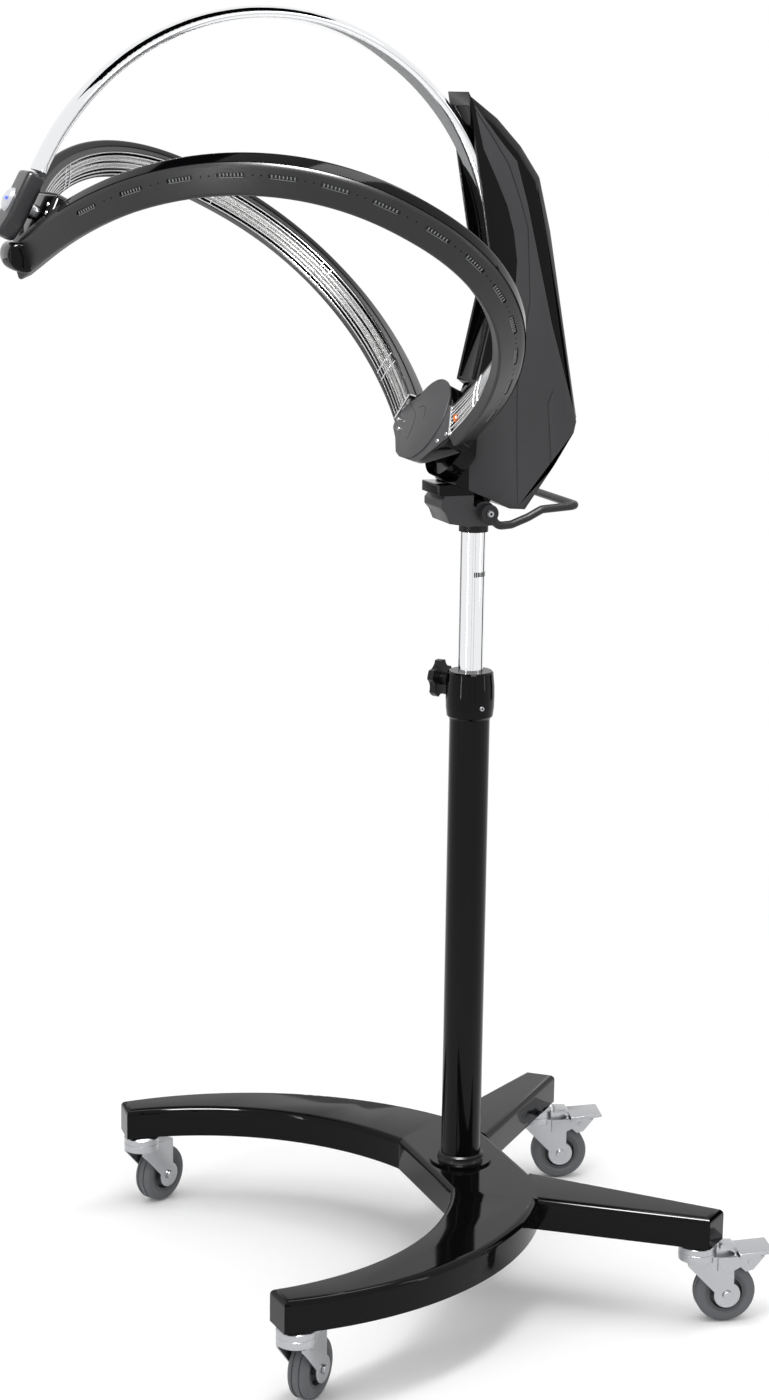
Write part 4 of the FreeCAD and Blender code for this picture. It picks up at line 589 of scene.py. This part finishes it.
# filled plastic that stands the heat is dull black with a broad soft sheen; frosted quartz is
# milky; the polished reflector mirrors the tubes and is darkened to a mid grey as painted shade
# of the mouth's inside; the guard's bright wires stand before it
arm_black = finish_material("Matte black heat proof moulding", "161618", 0.34, 0.9, 0.03, 0.05,
                            Specular_IOR_Level=0.45)
quartz = finish_material("Frosted quartz tube", "DEDDDA", 0.3, 30, 0.005, 0.04,
                         Transmission_Weight=0.25, IOR=1.46)
reflector_painted_shade = finish_material("Reflector darkened as painted shade", "5C5D5F", 0.16, 12, 0.01, 0.06,
                                  Metallic=1.0)
guard_chrome = finish_material("Chromed guard wire", "DADADC", 0.2, 5, 0.002, 0.05, Metallic=1.0)
# the slots' ribs and lips are a light grey where the casing's own black would be: painted highlight for
# the light they catch
ribs_painted_highlight = finish_material("Slot ribs lightened as painted highlight", "77787A", 0.3, 1.0, 0.02, 0.06)

# the arm's line is a squarish half ring about a middle on the ring's axis, in millimetres
ARM_SPLAY, ARM_DROP, ARM_MIDDLE = math.radians(59.5), 52, 248.3
ARM_HALF_LONG, ARM_REACH, ARM_SQUARE = 272.3, 401.5, 0.91
REAR_ROOT, FRONT_ROOT = 97, 105
MOUTH_LOW, MOUTH_HIGH = Vector((10.1, -16.6)), Vector((-18.5, -2.3))
TOP_EDGE, CREST, LOW_EDGE = Vector((-20.7, 15.6)), Vector((-2.7, 17.7)), Vector((20.2, -7.5))
SHELL_WALL, BAND_THICK, SHEET_THICK = 2.5, 0.9, 0.7
# towards the rear hub the upper edge of the mouth draws back until the mouth faces the front
FLARE, FLARE_FROM, FLARE_FULL = Vector((-11.1, -18.8)), 118, 166


def reach_way(side):
    """Way out from the line of the arm ends in an arm's plane."""
    return Vector((side * math.sin(ARM_SPLAY), 0, 0)) + ABOVE * math.cos(ARM_SPLAY)


def arm_point(side, angle):
    """Place on an arm's centre line in millimetres, from the front end to the rear end."""
    forward, out = math.cos(angle), math.sin(angle)
    forward = math.copysign(abs(forward) ** ARM_SQUARE, forward) * ARM_HALF_LONG
    return (RING_FOOT + ALONG * (ARM_MIDDLE + forward) - ABOVE * ARM_DROP
            + reach_way(side) * ARM_REACH * out ** ARM_SQUARE)


def arm_frame(side, angle):
    """Matrix whose axes run aside, outward and along the arm at an angle."""
    place = arm_point(side, angle)
    forward = (arm_point(side, angle + 0.001) - arm_point(side, angle - 0.001)).normalized()
    aside = Vector((side * math.cos(ARM_SPLAY), 0, 0)) - ABOVE * math.sin(ARM_SPLAY)
    outward = forward.cross(aside).normalized()
    if outward.dot(place - (RING_FOOT + ALONG * ARM_MIDDLE - ABOVE * ARM_DROP)) < 0:
        outward.negate()
    matrix = Matrix((aside, outward, forward)).transposed().to_4x4()
    matrix.translation = place
    return matrix


def arm_stations(side, first=5.0, last=172.0, steps=96):
    """Angles along an arm, each with its matrix."""
    angles = [math.radians(first + (last - first) * k / steps) for k in range(steps + 1)]
    return [(angle, arm_frame(side, angle)) for angle in angles]


def mouth_high(angle):
    """Upper edge of the mouth in the section at an angle."""
    share = min(max((math.degrees(angle) - FLARE_FROM) / (FLARE_FULL - FLARE_FROM), 0), 1)
    return MOUTH_HIGH + FLARE * share * share * (3 - 2 * share)


def at_mouth(angle, share, depth):
    """Point at a share of the mouth's width and a depth behind it, in the section at an angle."""
    mouth = mouth_high(angle) - MOUTH_LOW
    return MOUTH_LOW + mouth * share + Vector((mouth.y, -mouth.x)).normalized() * depth


def rounded_line(corners, radii, steps=5):
    """Open line whose inner corners are replaced by arcs."""
    line = [corners[0]]
    for before, corner, after, radius in zip(corners, corners[1:], corners[2:], radii):
        a, b = (before - corner).normalized(), (after - corner).normalized()
        half = a.angle(b) / 2
        centre = corner + (a + b).normalized() * radius / math.sin(half)
        first, last = corner + a * radius / math.tan(half), corner + b * radius / math.tan(half)
        sweep = (first - centre).angle_signed(last - centre)
        turns = [Matrix.Rotation(-sweep * k / steps, 2) for k in range(steps + 1)]
        line += [centre + turn @ (first - centre) for turn in turns]
    return line + [corners[-1]]


def offset_line(line, distance):
    """The line moved sideways, to the left of its direction."""
    moved = []
    for k, point in enumerate(line):
        before = (point - line[k - 1]).normalized() if k else None
        after = (line[k + 1] - point).normalized() if k + 1 < len(line) else None
        sides = [Vector((-way.y, way.x)) for way in (before, after) if way]
        side = sum(sides, Vector((0, 0))).normalized()
        moved.append(point + side * distance / side.dot(sides[0]))
    return moved


def swept(bm, section, stations):
    """The section of each angle, carried through the stations and closed at both ends."""
    angle, matrix = stations[0]
    ring = [bm.verts.new(matrix @ Vector((*corner, 0))) for corner in section(angle)]
    edges = [bm.edges.new(pair) for pair in zip(ring, ring[1:] + ring[:1])]
    first = list(edges)
    for angle, matrix in stations[1:]:
        grown = bmesh.ops.extrude_edge_only(bm, edges=edges)["geom"]
        moved = set(only(bmesh.types.BMVert, grown))
        ring = [next(edge.other_vert(vert) for edge in vert.link_edges
                     if edge.other_vert(vert) in moved) for vert in ring]
        for vert, corner in zip(ring, section(angle)):
            vert.co = matrix @ Vector((*corner, 0))
        edges = [edge for edge in only(bmesh.types.BMEdge, grown) if set(edge.verts) <= moved]
    bmesh.ops.edgeloop_fill(bm, edges=first)
    bmesh.ops.edgeloop_fill(bm, edges=edges)


def root_angle(root):
    """Angle at which the rear half of the curve is a distance out from the line of its ends."""
    return math.pi - math.asin((root / ARM_REACH) ** (1 / ARM_SQUARE))


def cut_at_hubs(bm, side):
    """Ends of an arm's piece cut square where the hubs' wings begin."""
    for root, rear in ((REAR_ROOT, True), (FRONT_ROOT, False)):
        near = [face for face in bm.faces
                if ((face.calc_center_median() - RING_FOOT).dot(ALONG) < ARM_MIDDLE) == rear]
        parts = list({item for face in near for item in (face, *face.edges, *face.verts)})
        cut_off(bm, parts, RING_FOOT - ABOVE * ARM_DROP + reach_way(side) * root, -reach_way(side))


def outside(angle):
    """Outer line of an arm, from the mouth's upper edge round its back to the lower edge."""
    return rounded_line([mouth_high(angle), TOP_EDGE, CREST, LOW_EDGE, MOUTH_LOW], (4.0, 9.0, 4.0))


def shell_wall(angle):
    """Wall of an arm's casing."""
    return outside(angle) + offset_line(outside(angle), -SHELL_WALL)[::-1]


def gloss_crown(angle):
    """Skin over the top edge of the shell."""
    upper = TOP_EDGE + (mouth_high(angle) - TOP_EDGE) * 0.6
    crown = rounded_line([upper, TOP_EDGE, TOP_EDGE + (CREST - TOP_EDGE) * 0.84], (4.0,))
    return offset_line(crown, BAND_THICK) + crown[::-1]


def trough(angle):
    """Bent sheet of the reflector."""
    line = [at_mouth(angle, share, 3 + 12 * math.sin(math.pi * share) ** 0.6)
            for share in (0.1, 0.14, 0.2, 0.3, 0.42, 0.5, 0.58, 0.7, 0.8, 0.86, 0.9)]
    return line + offset_line(line, SHEET_THICK)[::-1]


def rod(share, depth, radius, sides):
    """Section of a round rod that keeps its share of the mouth and its depth."""
    turns = [math.tau * k / sides for k in range(sides)]

    def section(angle):
        spot = at_mouth(angle, share, depth)
        return [spot + Vector((math.cos(turn), math.sin(turn))) * radius for turn in turns]
    return section


# front hub: the solid ends of both arms run straight on and are mitred in the middle
END_ANGLES, RUN_ON = (5.0, 24.0, 10), 1.2
front = bmesh.new()
for side in (-1, 1):
    end = bmesh.new()
    stations = arm_stations(side, *END_ANGLES)
    angle, matrix = stations[0]
    swept(end, outside, [(angle, matrix @ Matrix.Translation((0, 0, -RUN_ON * FRONT_ROOT)))] + stations)
    cut_off(end, all_of(end), (0, 0, 0), (-side, 0, 0))
    cut_off(end, all_of(end), RING_FOOT - ABOVE * ARM_DROP + reach_way(side) * FRONT_ROOT,
            reach_way(side))
    bmesh.ops.recalc_face_normals(end, faces=end.faces)
    joined(front, end)
piece_from(in_metres(front), "Front_Hub", arm_black, "heater_ring", "front_hub")

# the web between them carries the pivot, ends in a rounded tip and has a grey ledge on top
WEB = [(-62, 25), (62, 25), (72, -9), (0, -52), (-72, -9)]
LEDGE = [(-54, 25), (54, 25), (52, 27), (-52, 27)]
WEB_BACK, WEB_FACE, LEDGE_INSET, TIP_HALF = 505, 534, 2, 24
web = bmesh.new()
prism(web, WEB, WEB_BACK, WEB_FACE, RING, 4)
TIP = [(-36, 531), (-40, 544), (-52, 547), (-64, 540), (-69, 528), (-66, 515), (-56, 507), (-38, 509)]
FROM_SIDE = RING @ Matrix(((0, 0, 1, 0), (1, 0, 0, 0), (0, 1, 0, 0), (0, 0, 0, 1)))
prism(web, TIP, -TIP_HALF, TIP_HALF, FROM_SIDE, 6, segments=5)
piece_from(in_metres(web), "Front_Web", gloss_black, "heater_ring")
ledge = bmesh.new()
prism(ledge, LEDGE, WEB_BACK + LEDGE_INSET, WEB_FACE - LEDGE_INSET, RING, 0.6)
piece_from(in_metres(ledge), "Front_Web_Ledge", hub_grey, "heater_ring")
web_places = [RING @ Matrix.Translation((side * x, y, WEB_FACE))
              for side in (-1, 1) for x, y in ((44, 12), (54, 2))]
screw_heads("Web_Screws", web_places, SMALL_SCREW, "heater_ring")

# fourteen air slots an arm, with seven ribs across each and two pinholes between neighbours
SLOT_ANGLES = [19.5 + 10.68 * k for k in range(14)]
SLOT_LONG, SLOT_WIDE, SLOT_DEEP, RIBS = 33.0, 5.6, 2.2, 7
FACET = (LOW_EDGE - CREST).normalized()
SLOT_LINE = CREST + (LOW_EDGE - CREST) * 0.34
PINHOLE, PINHOLE_DEEP = 0.9, 4
RIB_WIDE, RIB_SHORTER, RIB_HIGH, RIB_EDGE, RIB_SINK, LIP_WIDE = 1.5, 2.2, 1.0, 0.3, 0.9, 0.5


def slot_frame(side, angle):
    """Matrix on the slotted face: X along the arm, Y across the face, Z out of it."""
    base = arm_frame(side, math.radians(angle))
    out = Vector((-FACET.y, FACET.x))
    axes = [base.to_3x3() @ Vector(way) for way in ((0, 0, 1), (*FACET, 0), (*out, 0))]
    matrix = Matrix(axes).transposed().to_4x4()
    matrix.translation = base @ Vector((*SLOT_LINE, 0))
    return matrix


def capsule(bm, long, wide, low, high, matrix):
    """Upright prism with round ends."""
    made = bmesh.ops.create_circle(bm, cap_ends=True, segments=20, radius=wide / 2)["verts"]
    for vert in made:
        vert.co.x += math.copysign((long - wide) / 2, vert.co.x) if abs(vert.co.x) > 1e-6 else 0
        vert.co.z = low
    face = made[0].link_faces[0]
    top = bmesh.ops.extrude_face_region(bm, geom=[face])["geom"]
    raised = only(bmesh.types.BMVert, top)
    bmesh.ops.translate(bm, verts=raised, vec=(0, 0, high - low))
    bmesh.ops.transform(bm, matrix=matrix, verts=made + raised)


def without(bm, cutters):
    """The piece with the cutters' shapes taken out of it."""
    solids = []
    for label, shape in (("Body", bm), ("Cutters", cutters)):
        bmesh.ops.recalc_face_normals(shape, faces=shape.faces)
        mesh = bpy.data.meshes.new(label)
        shape.to_mesh(mesh)
        shape.free()
        solids.append(link_object(label, mesh))
    body, tool = solids
    cut = body.modifiers.new("Cut", "BOOLEAN")
    cut.object, cut.solver, cut.operation = tool, "EXACT", "DIFFERENCE"
    made = bpy.data.meshes.new_from_object(body.evaluated_get(bpy.context.evaluated_depsgraph_get()))
    result = bmesh.new()
    result.from_mesh(made)
    for item in solids:
        bpy.data.objects.remove(item)
    return result


def facing(way):
    """Turn that sets Z along a way."""
    return way.to_track_quat("Z", "Y").to_matrix().to_4x4()


# twin heater tubes, and a guard of long wires with pairs of cross wires at some angles
TUBE_SHARES, TUBE_DEPTH, TUBE_RADIUS = (0.36, 0.64), 7.0, 3.6
CROSS_PAIRS, CROSS_APART = (34, 87.6, 123.0, 155.3), 15
WIRES, WIRE_RADIUS, WIRE_BOW = 7, 0.9, 2.2
FRAME_WIDE, FRAME_HIGH = 1.6, 3.0
for side_name, side in (("left", -1), ("right", 1)):
    shell = bmesh.new()
    swept(shell, shell_wall, arm_stations(side))
    cut_at_hubs(shell, side)
    cutters = bmesh.new()
    for angle in SLOT_ANGLES:
        capsule(cutters, SLOT_LONG, SLOT_WIDE, -SLOT_DEEP, 3, slot_frame(side, angle))
    for before, after in zip(SLOT_ANGLES, SLOT_ANGLES[1:]):
        for share in (0.42, 0.58):
            spot = slot_frame(side, before + (after - before) * share)
            bmesh.ops.create_cone(cutters, cap_ends=True, segments=10, radius1=PINHOLE, radius2=PINHOLE,
                                  depth=PINHOLE_DEEP, matrix=spot)
    piece_from(in_metres(without(shell, cutters)), f"Arm_Casing_{side_name}", arm_black, "heater_ring",
               f"arm_shell_{side_name}")

    ribs = bmesh.new()
    for angle in SLOT_ANGLES:
        for k in range(RIBS):
            place = ((k - (RIBS - 1) / 2) * SLOT_LONG / (RIBS + 1), 0, -RIB_SINK)
            size = Matrix.Diagonal((RIB_WIDE, SLOT_WIDE - RIB_SHORTER, RIB_HIGH, 1))
            rib = slot_frame(side, angle) @ Matrix.Translation(place) @ size
            made = bmesh.ops.create_cube(ribs, size=1, matrix=rib)["verts"]
            bmesh.ops.bevel(ribs, geom=list({edge for vert in made for edge in vert.link_edges}),
                            offset=RIB_EDGE, segments=2, profile=0.5, affect="EDGES", material=-1)
    # a thin lip along the lower edge of each slot, in the ribs' light grey, draws a painted highlight
    # line
    for angle in SLOT_ANGLES:
        lip = slot_frame(side, angle) @ Matrix.Translation((0, SLOT_WIDE / 2 - RIB_EDGE, 0))
        bmesh.ops.create_cube(ribs, size=1,
                              matrix=lip @ Matrix.Diagonal((SLOT_LONG - 5, LIP_WIDE, LIP_WIDE, 1)))
    piece_from(in_metres(ribs), f"Slot_Ribs_{side_name}", ribs_painted_highlight, "heater_ring")

    band = bmesh.new()
    swept(band, gloss_crown, arm_stations(side))
    cut_at_hubs(band, side)
    piece_from(in_metres(band), f"Arm_Band_{side_name}", gloss_black, "heater_ring",
               f"arm_band_{side_name}")

    mirror = bmesh.new()
    swept(mirror, trough, arm_stations(side))
    cut_at_hubs(mirror, side)
    piece_from(in_metres(mirror), f"Reflector_{side_name}", reflector_painted_shade, "heater_ring",
               f"reflector_{side_name}", angle=50)

    tubes = bmesh.new()
    for share in TUBE_SHARES:
        swept(tubes, rod(share, TUBE_DEPTH, TUBE_RADIUS, 12), arm_stations(side))
    cut_at_hubs(tubes, side)
    piece_from(in_metres(tubes), f"Heater_Tubes_{side_name}", quartz, "heater_ring",
               f"heater_tube_{side_name}")

    # a bent strip frames the mouth at the rear hub
    rim = bmesh.new()
    root = root_angle(REAR_ROOT + 3)
    at = arm_frame(side, root)
    corners = [at @ Vector((*at_mouth(root, share, depth), 0))
               for share, depth in ((0.03, 14), (0.03, 0), (0.97, 0), (0.97, 12))]
    for start, end in zip(corners, corners[1:]):
        strip_between(rim, start, end, FRAME_WIDE, FRAME_HIGH, at.to_3x3() @ Vector((0, 0, 1)))
    piece_from(in_metres(rim), f"Mouth_Frame_{side_name}", guard_chrome, "heater_ring")

    guard = bmesh.new()
    for k in range(WIRES):
        share = 0.07 + 0.86 * k / (WIRES - 1)
        depth = 1.6 - WIRE_BOW * math.sin(math.pi * share)
        swept(guard, rod(share, depth, WIRE_RADIUS, 8), arm_stations(side))
    cut_at_hubs(guard, side)
    for angle in (math.radians(degrees) for degrees in CROSS_PAIRS):
        bow = [at_mouth(angle, share, 0.4 - WIRE_BOW * math.sin(math.pi * share))
               for share in (0.05, 0.2, 0.35, 0.5, 0.65, 0.8, 0.95)]
        for shift in (-CROSS_APART / 2, CROSS_APART / 2):
            frame_here = arm_frame(side, angle) @ Matrix.Translation((0, 0, shift))
            bends = [frame_here @ Vector((*spot, 0)) for spot in bow]
            for start, end in zip(bends, bends[1:]):
                way = end - start
                spot = Matrix.Translation((start + end) / 2) @ facing(way)
                bmesh.ops.create_cone(guard, cap_ends=True, segments=6, radius1=WIRE_RADIUS,
                                      radius2=WIRE_RADIUS, depth=way.length * 1.04, matrix=spot)
    piece_from(in_metres(guard), f"Wire_Guard_{side_name}", guard_chrome, "heater_ring",
               f"wire_guard_{side_name}", angle=70)

# ---------------------------------------------------------------------------------------
# Temperature sensor: a small orange cap that stands across the mouth of the right arm, just
# in front of the rear hub, and sees the client's hair between the wires.

# glossy moulded orange
orange_cap = finish_material("Orange sensor cap", "D8702A", 0.3, 2.0, 0.01, 0.05)
SENSOR_AHEAD, SENSOR_SHARE, CAP_RADII = math.radians(2.6), 0.42, (3.4, 3.4, 5.2)
root = root_angle(REAR_ROOT) - SENSOR_AHEAD
spot = arm_frame(1, root) @ Vector((*at_mouth(root, SENSOR_SHARE, 0), 0))
across = (mouth_high(root) - MOUTH_LOW).normalized()
upright = arm_frame(1, root).to_3x3() @ Vector((*across, 0))
cap = bmesh.new()
cap_frame = Matrix.Translation(spot) @ facing(upright) @ Matrix.Diagonal((*CAP_RADII, 1))
bmesh.ops.create_uvsphere(cap, u_segments=24, v_segments=12, radius=1, matrix=cap_frame)
piece_from(in_metres(cap), "Temperature_Sensor", orange_cap, "heater_ring", "temperature_sensor")
